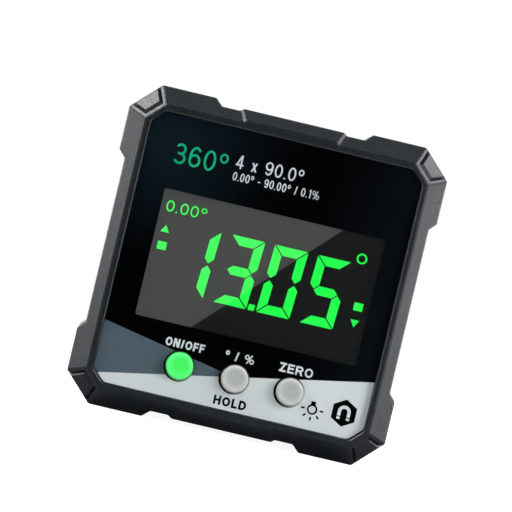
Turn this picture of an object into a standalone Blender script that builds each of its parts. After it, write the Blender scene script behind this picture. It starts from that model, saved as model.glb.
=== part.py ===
"""Digital angle gauge: a square box inclinometer that stands on any of its four sides.

The front faces -Y and the gauge stands on the bumpers of its lower side, at z = 0.
The case is a moulded front bezel and a rear housing, screwed together from behind
over a seal. The bezel holds a window, the display and three keys over a circuit
board; the housing holds two cells behind a hinged cover, and a pair of magnets
in each side.
"""
import math

import bmesh
import bpy
from mathutils import Matrix, Vector

MM = 0.001

# Clearances, and how far a cutter reaches past what it cuts
SEAT = 0.3 * MM
RUN = 0.2 * MM
PAST = 1.0 * MM
HAIR = 0.01 * MM

# Case
CASE_SIZE = 60.0 * MM
CASE_DEPTH = 26.0 * MM
HALF = CASE_SIZE / 2
CASE_CORNER = 5.2 * MM
EDGE_ROUND = 0.22 * MM
CAVITY_WALL = 4.3 * MM
BEZEL_DEPTH = 8.5 * MM
SLANT = 1.4 * MM
BUMPER_ACROSS = 10.0 * MM
BUMPER_UP = 8.0 * MM
VALLEY_DEPTH = 1.35 * MM
VALLEY_HALF_ACROSS = HALF - CASE_CORNER - BUMPER_ACROSS - SLANT
VALLEY_HALF_UP = HALF - CASE_CORNER - BUMPER_UP - SLANT

# Plateau in the middle of the upper and lower sides
PLATEAU_FROM_VALLEY_END = 4.0 * MM
PLATEAU_HALF = VALLEY_HALF_ACROSS - PLATEAU_FROM_VALLEY_END
PLATEAU_RISE = 0.5 * MM
PLATEAU_RAMP = 0.6 * MM
PLATEAU_NARROWING = 1.0 * MM
PLATEAU_ROOT = 0.6 * MM

# Front bezel
RING_INSET = 3.5 * MM
RING_FLAT = 0.8 * MM
LIP = 0.2 * MM
SHELF = 1.3 * MM
PAD_BORDER = 0.6 * MM
PAD_GROOVE = 0.75 * MM
PAD_GROOVE_DEPTH = 0.55 * MM
PAD_GROOVE_FLOOR = 0.06 * MM
PAD_DRAFT = 0.08 * MM

# Window
WINDOW_HALF = HALF - RING_INSET - RING_FLAT - LIP - RUN
WINDOW_CORNER = 2.35 * MM
WINDOW_ROUND = 1.2 * MM
WINDOW_ROUND_STEPS = 3
WINDOW_EDGE = 0.2 * MM
WINDOW_THICK = 1.5 * MM
WINDOW_SUNK = 0.3 * MM

# Display
LCD_CENTRE_X = 0.2 * MM
LCD_CENTRE_Z = -0.1 * MM
LCD_FROM_SIDE = 3.1 * MM
LCD_FROM_TOP = 12.0 * MM
LCD_WIDTH = 2 * (WINDOW_HALF - LCD_FROM_SIDE)
LCD_HEIGHT = 2 * (WINDOW_HALF - LCD_FROM_TOP)
LCD_THICK = 1.8 * MM
LCD_FRAME_WALL = 1.5 * MM
LCD_FRAME_CORNER = 1.0 * MM
LIGHT_GUIDE_THICK = 2.6 * MM
CONNECTOR_HEIGHT = 2.0 * MM
CONNECTOR_INSET = 1.0 * MM

# Keys and their switches
KEY_RADIUS = 2.5 * MM
KEY_PROUD = 0.9 * MM
KEY_EDGE = 0.5 * MM
KEY_EDGE_STEPS = 4
KEY_FLANGE = 0.9 * MM
KEY_FLANGE_THICK = 0.6 * MM
KEY_TRAVEL = 0.5 * MM
KEY_PITCH = 0.1725 * CASE_SIZE
KEY_ROW_X = 0.25 * MM
KEY_BELOW_LCD = 5.9 * MM
KEY_ROW_Z = LCD_CENTRE_Z - LCD_HEIGHT / 2 - KEY_BELOW_LCD
SWITCH_SIZE = 4.6 * MM
SWITCH_CORNER = 0.6 * MM
SWITCH_FLOOR = 0.4 * MM
PLUNGER_RADIUS = 0.9 * MM

# Circuit board and what it carries
BOARD_THICK = 1.6 * MM
BOARD_GAP = 0.5 * MM
CHIP_SIZE = 9.0 * MM
CHIP_THICK = 1.2 * MM
CHIP_CORNER = 0.3 * MM
CHIP_AT = (-9.0 * MM, 5.0 * MM)
SENSOR_SIZE = 4.0 * MM
SENSOR_THICK = 1.0 * MM
SENSOR_AT = (12.0 * MM, 7.0 * MM)
POST_RADIUS = 2.0 * MM
POST_FROM_SIDE = 17.0 * MM
POST_FROM_TOP = 10.5 * MM
POST_X = HALF - POST_FROM_SIDE
POST_Z = HALF - POST_FROM_TOP

# Screws
SCREW_FROM_SIDE = 9.0 * MM
SCREW_AT = HALF - SCREW_FROM_SIDE
BOSS_RADIUS = 2.8 * MM
SCREW_RADIUS = 1.1 * MM
SCREW_HEAD = 1.95 * MM
SCREW_HEAD_THICK = 1.6 * MM
SCREW_SEAT_DEPTH = 9.5 * MM
SCREW_BITE = 4.3 * MM
SMALL_SCREW_RADIUS = 0.6 * MM
SMALL_SCREW_HEAD = 1.6 * MM
SMALL_SCREW_HEAD_THICK = 1.0 * MM
SMALL_SCREW_BITE = 2.4 * MM
# Shares of the head's radius (slot half width and reach) and of its thickness (chamfer and slot)
SLOT_HALF, SLOT_REACH = 0.13, 0.6
HEAD_CHAMFER, SLOT_DEPTH = 0.35, 0.55

# Seal between the two halves of the case
SEAL_INSET = 2.85 * MM
SEAL_WIDTH = 0.9 * MM
SEAL_THICK = 0.8 * MM

# Rear housing and battery bay: the cells fill the depth and the width that the rest leaves
BACK_SLOPE = 2.0 * MM
BACK_WALL = 2.6 * MM
DEPTH_BESIDE_CELLS = 15.5 * MM
WIDTH_BESIDE_CELLS = 15.5 * MM
CELL_RADIUS = (CASE_DEPTH - DEPTH_BESIDE_CELLS) / 2
CELL_LENGTH = CASE_SIZE - WIDTH_BESIDE_CELLS
CELL_EDGE = 0.5 * MM
NUB_RADIUS = 0.36 * CELL_RADIUS
NUB_LENGTH = 0.8 * MM
CELL_GAP = 0.6 * MM
TUB_WALL = 1.2 * MM
CONTACT_THICK = 0.4 * MM
CONTACT_CORNER = 0.8 * MM
CONTACT_SHORT = 1.0 * MM
CONTACT_DIMPLE = 0.5 * MM
CONTACT_DIMPLE_RADIUS = 0.3 * CELL_RADIUS
SPRING_LENGTH = 2.7 * MM
SPRING_WIRE = 0.3 * MM
SPRING_WIDE = 0.65 * CELL_RADIUS
SPRING_NARROW = 0.44 * CELL_RADIUS
SPRING_TURNS = 2.5
SPRING_STEPS = 12

# Battery cover
COVER_THICK = 2.0 * MM
COVER_EDGE_STEPS = 6
COVER_LEDGE = 1.8 * MM
COVER_PIN = 0.7 * MM
COVER_PIN_LENGTH = 0.9 * MM
COVER_RIB = 1.2 * MM
COVER_RIB_RISE = 0.65 * MM
GRIP_GROOVES = 4
GRIP_PITCH = 1.2 * MM
GRIP_GROOVE = 0.5 * MM
GRIP_HALF = 5.5 * MM
SCOOP_RADIUS = 7.0 * MM
SCOOP_RISE = 3.4 * MM
SCOOP_DEPTH = 1.5 * MM

# Magnets
MAGNET_RADIUS = 3.0 * MM
MAGNET_THICK = 2.0 * MM
MAGNET_SUNK = 0.1 * MM
MAGNET_EDGE = 0.25 * MM

ROUND = 40
SMALL_ROUND = 20
DIAGONAL = math.sqrt(0.5)
OCTAGON = 2 - math.sqrt(2)

# Places that follow from the sizes: x across, z up from the middle of the case, y from front to back
BACK_Y = (CASE_DEPTH + KEY_PROUD) / 2
FRONT_Y = BACK_Y - CASE_DEPTH
CROWN_Y = -BACK_Y
SEAM_Y = FRONT_Y + BEZEL_DEPTH
HOUSING_Y = SEAM_Y + SEAT
WINDOW_Y = FRONT_Y + WINDOW_SUNK
SHELF_Y = WINDOW_Y + WINDOW_THICK + SEAT
SHELF_BACK_Y = SHELF_Y + SHELF
LCD_Y = SHELF_Y
GUIDE_Y = LCD_Y + LCD_THICK + SEAT
BOARD_Y = GUIDE_Y + LIGHT_GUIDE_THICK + SEAT
BOARD_BACK_Y = BOARD_Y + BOARD_THICK
FLANGE_Y = SHELF_BACK_Y + SEAT
PLUNGER_Y = FLANGE_Y + KEY_FLANGE_THICK + SEAT
COVER_Y = BACK_Y - COVER_THICK
COVER_RIB_Y = COVER_Y - COVER_RIB_RISE
CELL_Y = COVER_RIB_Y - SEAT - CELL_RADIUS
TUB_FLOOR_Y = CELL_Y - CELL_RADIUS - SEAT
TUB_FRONT_Y = TUB_FLOOR_Y - TUB_WALL
CELL_Z = CELL_RADIUS + CELL_GAP / 2
BAY_HALF_UP = 2 * CELL_RADIUS + CELL_GAP / 2 + SEAT
BAY_HALF_ACROSS = (CELL_LENGTH + SPRING_LENGTH + 2 * CONTACT_THICK + CONTACT_DIMPLE + 5 * SEAT) / 2
RECESS_HALF_UP = BAY_HALF_UP + COVER_LEDGE
RECESS_HALF_ACROSS = BAY_HALF_ACROSS + COVER_LEDGE / 2
COVER_HALF_UP = RECESS_HALF_UP - SEAT
COVER_HALF_ACROSS = RECESS_HALF_ACROSS - SEAT
PIVOT_Y = BACK_Y - COVER_THICK / 2
PIVOT_Z = -COVER_HALF_UP + COVER_THICK / 2
SCREW_SEAT_Y = BACK_Y - SCREW_SEAT_DEPTH
KEY_NAMES = ("on_off", "hold", "zero")


def clear_scene():
    for item in list(bpy.data.objects):
        bpy.data.objects.remove(item)


def place(x, y, z):
    """A point of the model, with z counted from the middle of the case."""
    return Vector((x, y, HALF + z))


def add_object(name, mesh):
    item = bpy.data.objects.new(name, mesh)
    bpy.context.scene.collection.objects.link(item)
    return item


def solid(name, points, faces):
    """A closed mesh with its faces turned outwards."""
    mesh = bpy.data.meshes.new(name)
    mesh.from_pydata([tuple(point) for point in points], [], faces)
    work = bmesh.new()
    work.from_mesh(mesh)
    bmesh.ops.recalc_face_normals(work, faces=work.faces)
    work.to_mesh(mesh)
    work.free()
    return add_object(name, mesh)


def skin(name, rings):
    """A solid through rings of points, each with as many points, closed by a cap at each end."""
    count = len(rings[0])
    points = [point for ring in rings for point in ring]
    faces = [tuple(range(count)), tuple(range(len(points) - count, len(points)))]
    for level in range(len(rings) - 1):
        start = level * count
        for index in range(count):
            after = (index + 1) % count
            faces.append((start + index, start + after, start + count + after, start + count + index))
    return solid(name, points, faces)


def ring_at(outline, y):
    return [place(x, y, z) for x, z in outline]


def prism(name, outline, y_front, y_back):
    return skin(name, [ring_at(outline, y_front), ring_at(outline, y_back)])


def frame_ring(name, outer, inner, y_front, y_back):
    """A flat ring between two outlines that have as many points."""
    count = len(outer)
    points = ring_at(outer, y_front) + ring_at(inner, y_front) + ring_at(outer, y_back) + ring_at(inner, y_back)
    faces = []
    for index in range(count):
        after = (index + 1) % count
        faces.append((index, after, count + after, count + index))
        faces.append((2 * count + index, 2 * count + after, 3 * count + after, 3 * count + index))
        faces.append((index, after, 2 * count + after, 2 * count + index))
        faces.append((count + index, count + after, 3 * count + after, 3 * count + index))
    return solid(name, points, faces)


def rectangle(half_x, half_z, corner=0.0, centre=(0.0, 0.0)):
    """A rectangle with its corners cut off, or plain where corner is 0."""
    cx, cz = centre
    if corner == 0.0:
        corners = [(-half_x, -half_z), (half_x, -half_z), (half_x, half_z), (-half_x, half_z)]
    else:
        near_x, near_z = half_x - corner, half_z - corner
        corners = [(-near_x, -half_z), (near_x, -half_z), (half_x, -near_z), (half_x, near_z),
                   (near_x, half_z), (-near_x, half_z), (-half_x, near_z), (-half_x, -near_z)]
    return [(cx + x, cz + z) for x, z in corners]


def inset_octagon(inset):
    """The case's plain octagon, moved in by the same amount on all eight sides."""
    return rectangle(HALF - inset, HALF - inset, CASE_CORNER - inset * OCTAGON)


def rounded_octagon(half, corner, radius):
    """A square with its corners cut off and its eight points rounded to the radius."""
    reach = radius * math.tan(math.radians(22.5))
    points = [Vector(point) for point in rectangle(half, half, corner)]
    outline = []
    for index, point in enumerate(points):
        before = (points[index - 1] - point).normalized()
        after = (points[(index + 1) % len(points)] - point).normalized()
        middle = point + (before + after).normalized() * math.hypot(reach, radius)
        first = point + before * reach - middle
        last = point + after * reach - middle
        for step in range(WINDOW_ROUND_STEPS + 1):
            share = first.lerp(last, step / WINDOW_ROUND_STEPS).normalized()
            outline.append(tuple(middle + share * radius))
    return outline


def valley_cutters(y_front, y_back):
    """The shallow valley in the middle of each side, between the corner bumpers."""
    cutters = []
    for quarter in range(4):
        half = VALLEY_HALF_ACROSS if quarter % 2 == 0 else VALLEY_HALF_UP
        spread = half + SLANT * (1 + PAST / VALLEY_DEPTH)
        shape = [(-half, -HALF + VALLEY_DEPTH), (half, -HALF + VALLEY_DEPTH),
                 (spread, -HALF - PAST), (-spread, -HALF - PAST)]
        turn = Matrix.Rotation(quarter * math.pi / 2, 2)
        shape = [tuple(turn @ Vector(point)) for point in shape]
        cutters.append(prism("valley", shape, y_front - PAST, y_back + PAST))
    return cutters


def turned(name, profile, centre, axis="Y", steps=ROUND):
    """A body of revolution. The profile is (radius, distance along the axis), from pole to pole."""
    points, faces, starts = [], [], []
    for radius, along in profile:
        starts.append(len(points))
        count = 1 if radius == 0 else steps
        for step in range(count):
            angle = 2 * math.pi * (step + 0.5) / steps
            side = (radius * math.cos(angle), radius * math.sin(angle))
            local = {"X": (along, side[0], side[1]), "Y": (side[0], along, side[1]),
                     "Z": (side[0], side[1], along)}[axis]
            points.append(Vector(local) + centre)
    for level in range(len(profile) - 1):
        low, high = starts[level], starts[level + 1]
        for step in range(steps):
            after = (step + 1) % steps
            if profile[level][0] == 0:
                faces.append((low, high + step, high + after))
            elif profile[level + 1][0] == 0:
                faces.append((low + step, low + after, high))
            else:
                faces.append((low + step, low + after, high + after, high + step))
    return solid(name, points, faces)


def rod(name, centre, radius, start, end, axis="Y", steps=ROUND):
    """A plain round bar from start to end along the axis, counted from the centre point."""
    return turned(name, [(0, start), (radius, start), (radius, end), (0, end)], centre, axis, steps)


def combine(item, tool, operation):
    """Cut, join or intersect the item with a tool, which is used up."""
    step = item.modifiers.new("form", "BOOLEAN")
    step.operation = operation
    step.solver = "EXACT"
    step.object = tool
    bpy.context.view_layer.update()
    graph = bpy.context.evaluated_depsgraph_get()
    mesh = bpy.data.meshes.new_from_object(item.evaluated_get(graph))
    item.modifiers.clear()
    work = bmesh.new()
    work.from_mesh(mesh)
    bmesh.ops.triangulate(work, faces=work.faces)
    work.to_mesh(mesh)
    work.free()
    item.data = mesh
    bpy.data.objects.remove(tool)
    return item


def together(tools):
    """Tools that don't touch each other, as one object."""
    work = bmesh.new()
    for tool in tools:
        work.from_mesh(tool.data)
    mesh = bpy.data.meshes.new("tools")
    work.to_mesh(mesh)
    work.free()
    for tool in tools:
        bpy.data.objects.remove(tool)
    return add_object("tools", mesh)


def cut(item, *tools):
    return combine(item, together(tools), "DIFFERENCE")


def join(item, *tools):
    return combine(item, together(tools), "UNION")


def soften(item, width, keep_sharp_from_y=None, keep_sharp_to_y=None):
    """Round every edge that turns by more than 15 degrees, apart from those on the seam."""
    work = bmesh.new()
    work.from_mesh(item.data)
    bmesh.ops.remove_doubles(work, verts=work.verts, dist=0.1 * HAIR)
    bmesh.ops.dissolve_limit(work, angle_limit=math.radians(0.5), verts=work.verts, edges=work.edges)
    edges = []
    for edge in work.edges:
        ys = [vert.co.y for vert in edge.verts]
        if keep_sharp_from_y is not None and min(ys) > keep_sharp_from_y:
            continue
        if keep_sharp_to_y is not None and max(ys) < keep_sharp_to_y:
            continue
        if edge.is_manifold and edge.calc_face_angle() > math.radians(15):
            edges.append(edge)
    bmesh.ops.bevel(work, geom=edges, offset=width, segments=2, profile=0.5, affect="EDGES",
                    clamp_overlap=True)
    bmesh.ops.recalc_face_normals(work, faces=work.faces)
    work.to_mesh(item.data)
    work.free()


def smooth(item, angle=35):
    item.data.shade_smooth()
    item.data.set_sharp_from_angle(angle=math.radians(angle))


def set_origin(item, point):
    """Move the object's origin to a point of the model and leave its shape where it is."""
    item.data.transform(Matrix.Translation(-point))
    item.location = point


def material(name, colour, roughness, metallic=0.0):
    result = bpy.data.materials.new(name)
    result.use_nodes = True
    shader = result.node_tree.nodes["Principled BSDF"]
    shader.inputs["Base Color"].default_value = (*colour, 1.0)
    shader.inputs["Roughness"].default_value = roughness
    shader.inputs["Metallic"].default_value = metallic
    return result


def finish(item, name, colour, roughness, metallic=0.0):
    item.name = name
    item.data.name = name
    item.data.materials.clear()
    item.data.materials.append(material(name, colour, roughness, metallic))
    return item


BLACK_PLASTIC = (0.028, 0.031, 0.034)
CLEAR = (0.01, 0.012, 0.014)
STEEL = (0.55, 0.55, 0.53)
NICKEL = (0.68, 0.66, 0.6)


def key_places():
    return [(name, KEY_ROW_X + (index - 1) * KEY_PITCH) for index, name in enumerate(KEY_NAMES)]


def corner_places(distance):
    return [(sx * distance, sz * distance) for sz in (1, -1) for sx in (-1, 1)]


def side_plateaus(front, back, front_slope, back_slope):
    """The raised middle of the upper and lower sides, with a ramp at each end.

    It follows the valley and the slopes at the front and back, PLATEAU_RISE above them,
    and reaches past both ends so that the case's own planes can trim it.
    """
    past = 0.8 * PAST
    low = HALF - VALLEY_DEPTH
    spread = PLATEAU_RAMP * (1 + PLATEAU_ROOT / PLATEAU_RISE)
    narrowing = PLATEAU_NARROWING / (RING_INSET - VALLEY_DEPTH)
    stations = [(front - past, low)]
    if front_slope > VALLEY_DEPTH:
        run = front_slope - VALLEY_DEPTH
        stations = [(front - past, low - run - past), (front + run, low)]
    run = back_slope - VALLEY_DEPTH
    stations += [(back - run, low), (back + past, low - run - past)] if run > 0 else [(back + past, low)]
    solids = []
    for sign in (1, -1):
        rings = []
        for y, base in stations:
            half = PLATEAU_HALF - narrowing * (low - base)
            rings.append([place(x, y, sign * z) for x, z in (
                (-half - spread, base - PLATEAU_ROOT), (-half, base + PLATEAU_RISE),
                (half, base + PLATEAU_RISE), (half + spread, base - PLATEAU_ROOT))])
        solids.append(skin("plateau", rings))
    return solids


def case_block(front, back, front_slope, back_slope):
    """Half of the case as a solid block: bumpers, valleys, plateaus and the slopes at its ends.

    The octagon keeps its section between the slopes. It is built past both end planes and
    trimmed by them last, so the plateaus end on the same planes.
    """
    rings = [ring_at(inset_octagon(0), front - PAST)]
    if front_slope > 0:
        rings = [ring_at(inset_octagon(front_slope + PAST), front - PAST),
                 ring_at(inset_octagon(0), front + front_slope)]
    if back_slope > 0:
        rings += [ring_at(inset_octagon(0), back - back_slope),
                  ring_at(inset_octagon(back_slope + PAST), back + PAST)]
    else:
        rings.append(ring_at(inset_octagon(0), back + PAST))
    item = skin("block", rings)
    cut(item, *valley_cutters(front - PAST, back + PAST))
    join(item, *side_plateaus(front, back, front_slope, back_slope))
    return combine(item, prism("slab", inset_octagon(-2 * PAST), front, back), "INTERSECT")


def corner_pad_cutter(sx, sz):
    """The groove round three sides of the pad on a corner's slope.

    It is drawn on the slope itself: t runs along the corner, v down the slope from the
    flat ring, and depth goes into the slope. The groove's outer wall is steep, and its
    inner wall climbs to the pad over the groove's whole width.
    """
    outward = Vector((sx, 0, sz)) * DIAGONAL
    along = Vector((-sz, 0, sx)) * DIAGONAL
    down = (outward + Vector((0, 1, 0))) * DIAGONAL
    normal = (outward - Vector((0, 1, 0))) * DIAGONAL
    ring_corner = CASE_CORNER - RING_INSET * OCTAGON
    reach = (2 * (HALF - RING_INSET) - ring_corner) * DIAGONAL
    origin = place(0, FRONT_Y, 0) + outward * reach
    widening = math.tan(math.radians(22.5)) * DIAGONAL
    far = (RING_INSET + PAST) / DIAGONAL
    over = 0.3 * PAST

    def edge(v, inset):
        return ring_corner * DIAGONAL + widening * v - inset

    def outline(depth):
        share = depth / PAD_GROOVE_DEPTH
        outer = PAD_BORDER + PAD_DRAFT * share
        inner = PAD_BORDER + PAD_GROOVE + (PAD_DRAFT + PAD_GROOVE_FLOOR - PAD_GROOVE) * share
        first, second = outer / DIAGONAL, inner / DIAGONAL
        points = [(-edge(far, outer), far), (-edge(first, outer), first), (edge(first, outer), first),
                  (edge(far, outer), far), (edge(far, inner), far), (edge(second, inner), second),
                  (-edge(second, inner), second), (-edge(far, inner), far)]
        return [origin + along * t + down * v - normal * depth for t, v in points]

    return skin("trench", [outline(-over), outline(PAD_GROOVE_DEPTH)])


def make_front_bezel():
    """The moulded front: bumpers and valleys, one slope all round, corner pads, a lip and a shelf."""
    item = case_block(FRONT_Y, SEAM_Y, RING_INSET, 0)
    soften(item, EDGE_ROUND, keep_sharp_from_y=SEAM_Y - HAIR)
    cut(item, *[corner_pad_cutter(sx, sz) for sx in (-1, 1) for sz in (-1, 1)])
    pocket = WINDOW_HALF + RUN
    rise = LIP + PAST
    wide = rounded_octagon(pocket + rise, WINDOW_CORNER + rise * OCTAGON, WINDOW_ROUND + rise)
    narrow = rounded_octagon(pocket, WINDOW_CORNER, WINDOW_ROUND)
    cut(item, skin("pocket", [ring_at(wide, FRONT_Y - PAST), ring_at(narrow, FRONT_Y + LIP),
                              ring_at(narrow, SHELF_Y)]))
    cut(item, prism("cavity", inset_octagon(CAVITY_WALL), SHELF_BACK_Y, SEAM_Y + PAST))
    opening = rectangle(LCD_WIDTH / 2 + SEAT, LCD_HEIGHT / 2 + SEAT, centre=(LCD_CENTRE_X, LCD_CENTRE_Z))
    cut(item, prism("opening", opening, SHELF_Y - PAST, SHELF_BACK_Y + PAST))
    cut(item, *[rod("hole", place(x, 0, KEY_ROW_Z), KEY_RADIUS + SEAT, SHELF_Y - PAST, SHELF_BACK_Y + PAST)
                for _, x in key_places()])
    root = SHELF_BACK_Y - SHELF / 2
    posts, bores = [], []
    for x, z in corner_places(SCREW_AT):
        spot = place(x, 0, z)
        posts.append(rod("boss", spot, BOSS_RADIUS, root, SEAM_Y, steps=SMALL_ROUND))
        bores.append(rod("bore", spot, SCREW_RADIUS + RUN, SEAM_Y - SCREW_BITE - SEAT, SEAM_Y + PAST,
                         steps=SMALL_ROUND))
    for side in (-1, 1):
        spot = place(side * POST_X, 0, POST_Z)
        posts.append(rod("post", spot, POST_RADIUS, root, BOARD_Y - SEAT, steps=SMALL_ROUND))
        bores.append(rod("bore", spot, SMALL_SCREW_RADIUS + RUN, BOARD_Y - SMALL_SCREW_BITE - SEAT,
                         BOARD_Y + PAST, steps=SMALL_ROUND))
    join(item, *posts)
    cut(item, *bores)
    smooth(item, 25)
    return finish(item, "front_bezel", BLACK_PLASTIC, 0.5)


def make_rear_housing():
    """The rear shell: the same outline, a tub for the cells, screw posts and magnet pockets."""
    item = case_block(HOUSING_Y, BACK_Y, 0, BACK_SLOPE)
    soften(item, EDGE_ROUND, keep_sharp_to_y=HOUSING_Y + HAIR)
    cut(item, prism("cavity", inset_octagon(CAVITY_WALL), HOUSING_Y - PAST, BACK_Y - BACK_WALL))
    wall_across = HALF - CAVITY_WALL + RUN
    join(item, prism("tub", rectangle(wall_across, BAY_HALF_UP + TUB_WALL), TUB_FRONT_Y, BACK_Y - PAST))
    ledge_y = COVER_Y - SEAT
    join(item, prism("ledge", rectangle(wall_across, RECESS_HALF_UP + TUB_WALL), ledge_y - 2 * TUB_WALL,
                     BACK_Y - PAST))
    join(item, *[rod("post", place(x, 0, z), BOSS_RADIUS, HOUSING_Y, BACK_Y - PAST, steps=SMALL_ROUND)
                 for x, z in corner_places(SCREW_AT)])
    cut(item, prism("bay", rectangle(BAY_HALF_ACROSS, BAY_HALF_UP), TUB_FLOOR_Y, BACK_Y + PAST))
    cut(item, prism("recess", rectangle(RECESS_HALF_ACROSS, RECESS_HALF_UP), ledge_y, BACK_Y + PAST))
    cut(item, rod("scoop", place(0, 0, RECESS_HALF_UP + SCOOP_RISE - SCOOP_RADIUS), SCOOP_RADIUS,
                  BACK_Y - SCOOP_DEPTH, BACK_Y + PAST))
    reach = RECESS_HALF_ACROSS + COVER_PIN_LENGTH
    cut(item, rod("pivot", place(0, PIVOT_Y, PIVOT_Z), COVER_PIN + RUN, -reach, reach, "X", SMALL_ROUND))
    cut(item, *[screw_well(place(x, 0, z)) for x, z in corner_places(SCREW_AT)])
    groove = SEAL_WIDTH / 2 + SEAT
    cut(item, frame_ring("groove", inset_octagon(SEAL_INSET - groove), inset_octagon(SEAL_INSET + groove),
                         HOUSING_Y - PAST, HOUSING_Y + SEAL_THICK + SEAT))
    depth = MAGNET_SUNK + MAGNET_THICK + SEAT
    pockets = []
    for centre, axis, _, sign in magnet_places():
        inner, outer = sorted((-sign * depth, sign * PAST))
        pockets.append(rod("pocket", centre, MAGNET_RADIUS + RUN, inner, outer, axis, SMALL_ROUND))
    cut(item, *pockets)
    smooth(item, 25)
    return finish(item, "rear_housing", BLACK_PLASTIC, 0.55)


def screw_well(spot):
    """The hole that a case screw goes through, and the wider well that its head sits in."""
    shank, head = SCREW_RADIUS + RUN, SCREW_HEAD + RUN
    return turned("well", [(0, HOUSING_Y - PAST), (shank, HOUSING_Y - PAST), (shank, SCREW_SEAT_Y),
                           (head, SCREW_SEAT_Y), (head, BACK_Y + PAST), (0, BACK_Y + PAST)],
                  spot, "Y", SMALL_ROUND)


def magnet_places():
    """The middle of each magnet's place on the case, its axis, its side and which way it faces."""
    y = (HOUSING_Y + BACK_Y) / 2
    across = (VALLEY_HALF_ACROSS + SLANT + HALF - CASE_CORNER) / 2
    up = (VALLEY_HALF_UP + SLANT + HALF - CASE_CORNER) / 2
    places = []
    for end in (-1, 1):
        places.append((place(end * across, y, -HALF), "Z", "bottom", -1))
        places.append((place(end * across, y, HALF), "Z", "top", 1))
        places.append((place(-HALF, y, end * up), "X", "left", -1))
        places.append((place(HALF, y, end * up), "X", "right", 1))
    return places


def make_magnets():
    counts = {}
    for centre, axis, side, sign in magnet_places():
        counts[side] = counts.get(side, 0) + 1
        face = -sign * MAGNET_SUNK
        back = face - sign * MAGNET_THICK
        item = turned("magnet", [(0, face), (MAGNET_RADIUS - MAGNET_EDGE, face),
                                 (MAGNET_RADIUS, face - sign * MAGNET_EDGE), (MAGNET_RADIUS, back), (0, back)],
                      centre, axis, SMALL_ROUND)
        smooth(item)
        finish(item, f"magnet_{side}_{counts[side]}", NICKEL, 0.3, 1.0)


def make_seal():
    inner, outer = SEAL_INSET + SEAL_WIDTH / 2, SEAL_INSET - SEAL_WIDTH / 2
    item = frame_ring("seal", inset_octagon(outer), inset_octagon(inner), HOUSING_Y, HOUSING_Y + SEAL_THICK)
    return finish(item, "housing_seal", (0.35, 0.36, 0.37), 0.8)


def make_window():
    """The octagonal front window, with a round hole for each key and a fine bevel on its front edge."""
    small = rounded_octagon(WINDOW_HALF - WINDOW_EDGE, WINDOW_CORNER, WINDOW_ROUND)
    full = rounded_octagon(WINDOW_HALF, WINDOW_CORNER, WINDOW_ROUND)
    item = skin("window", [ring_at(small, WINDOW_Y), ring_at(full, WINDOW_Y + WINDOW_EDGE),
                           ring_at(full, WINDOW_Y + WINDOW_THICK)])
    cut(item, *[rod("hole", place(x, 0, KEY_ROW_Z), KEY_RADIUS + RUN, WINDOW_Y - PAST, SHELF_Y + PAST)
                for _, x in key_places()])
    smooth(item)
    return finish(item, "display_window", CLEAR, 0.05)


def make_display():
    """The display glass, the light guide behind it, its contact strip and the frame round them."""
    centre = (LCD_CENTRE_X, LCD_CENTRE_Z)
    half_x, half_z = LCD_WIDTH / 2, LCD_HEIGHT / 2
    panel = prism("panel", rectangle(half_x, half_z, centre=centre), LCD_Y, LCD_Y + LCD_THICK)
    finish(panel, "lcd_panel", (0.02, 0.02, 0.022), 0.15)
    strip_z = LCD_CENTRE_Z - half_z + CONNECTOR_HEIGHT / 2
    guide_half = (LCD_HEIGHT - CONNECTOR_HEIGHT - SEAT) / 2
    guide_z = LCD_CENTRE_Z + half_z - guide_half
    guide = prism("guide", rectangle(half_x, guide_half, centre=(LCD_CENTRE_X, guide_z)), GUIDE_Y,
                  GUIDE_Y + LIGHT_GUIDE_THICK)
    finish(guide, "light_guide", (0.8, 0.82, 0.8), 0.3)
    strip = prism("strip", rectangle(half_x - CONNECTOR_INSET, CONNECTOR_HEIGHT / 2, centre=(LCD_CENTRE_X, strip_z)),
                  GUIDE_Y, GUIDE_Y + LIGHT_GUIDE_THICK)
    finish(strip, "lcd_connector", (0.6, 0.25, 0.3), 0.7)
    gap, wall = SEAT, SEAT + LCD_FRAME_WALL
    frame = frame_ring("frame", rectangle(half_x + wall, half_z + wall, LCD_FRAME_CORNER, centre),
                       rectangle(half_x + gap, half_z + gap, 0.1 * LCD_FRAME_CORNER, centre),
                       SHELF_BACK_Y + SEAT, BOARD_Y - SEAT)
    finish(frame, "lcd_frame", (0.75, 0.76, 0.75), 0.5)


def make_board():
    """The circuit board: an octagon that clears the case, its bosses and its own two screws."""
    inset = CAVITY_WALL + BOARD_GAP
    item = prism("board", inset_octagon(inset), BOARD_Y, BOARD_BACK_Y)
    holes = [(x, z, BOSS_RADIUS + SEAT) for x, z in corner_places(SCREW_AT)]
    holes += [(side * POST_X, POST_Z, SMALL_SCREW_RADIUS + SEAT) for side in (-1, 1)]
    cut(item, *[rod("hole", place(x, 0, z), radius, BOARD_Y - PAST, BOARD_BACK_Y + PAST, steps=SMALL_ROUND)
                for x, z, radius in holes])
    finish(item, "main_board", (0.02, 0.16, 0.06), 0.5)
    y = BOARD_BACK_Y + SEAT
    chip = prism("chip", rectangle(CHIP_SIZE / 2, CHIP_SIZE / 2, CHIP_CORNER, CHIP_AT), y, y + CHIP_THICK)
    finish(chip, "processor_chip", (0.03, 0.03, 0.03), 0.4)
    sensor = prism("sensor", rectangle(SENSOR_SIZE / 2, SENSOR_SIZE / 2, CHIP_CORNER, SENSOR_AT), y,
                   y + SENSOR_THICK)
    finish(sensor, "tilt_sensor", (0.04, 0.04, 0.045), 0.4)


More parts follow.
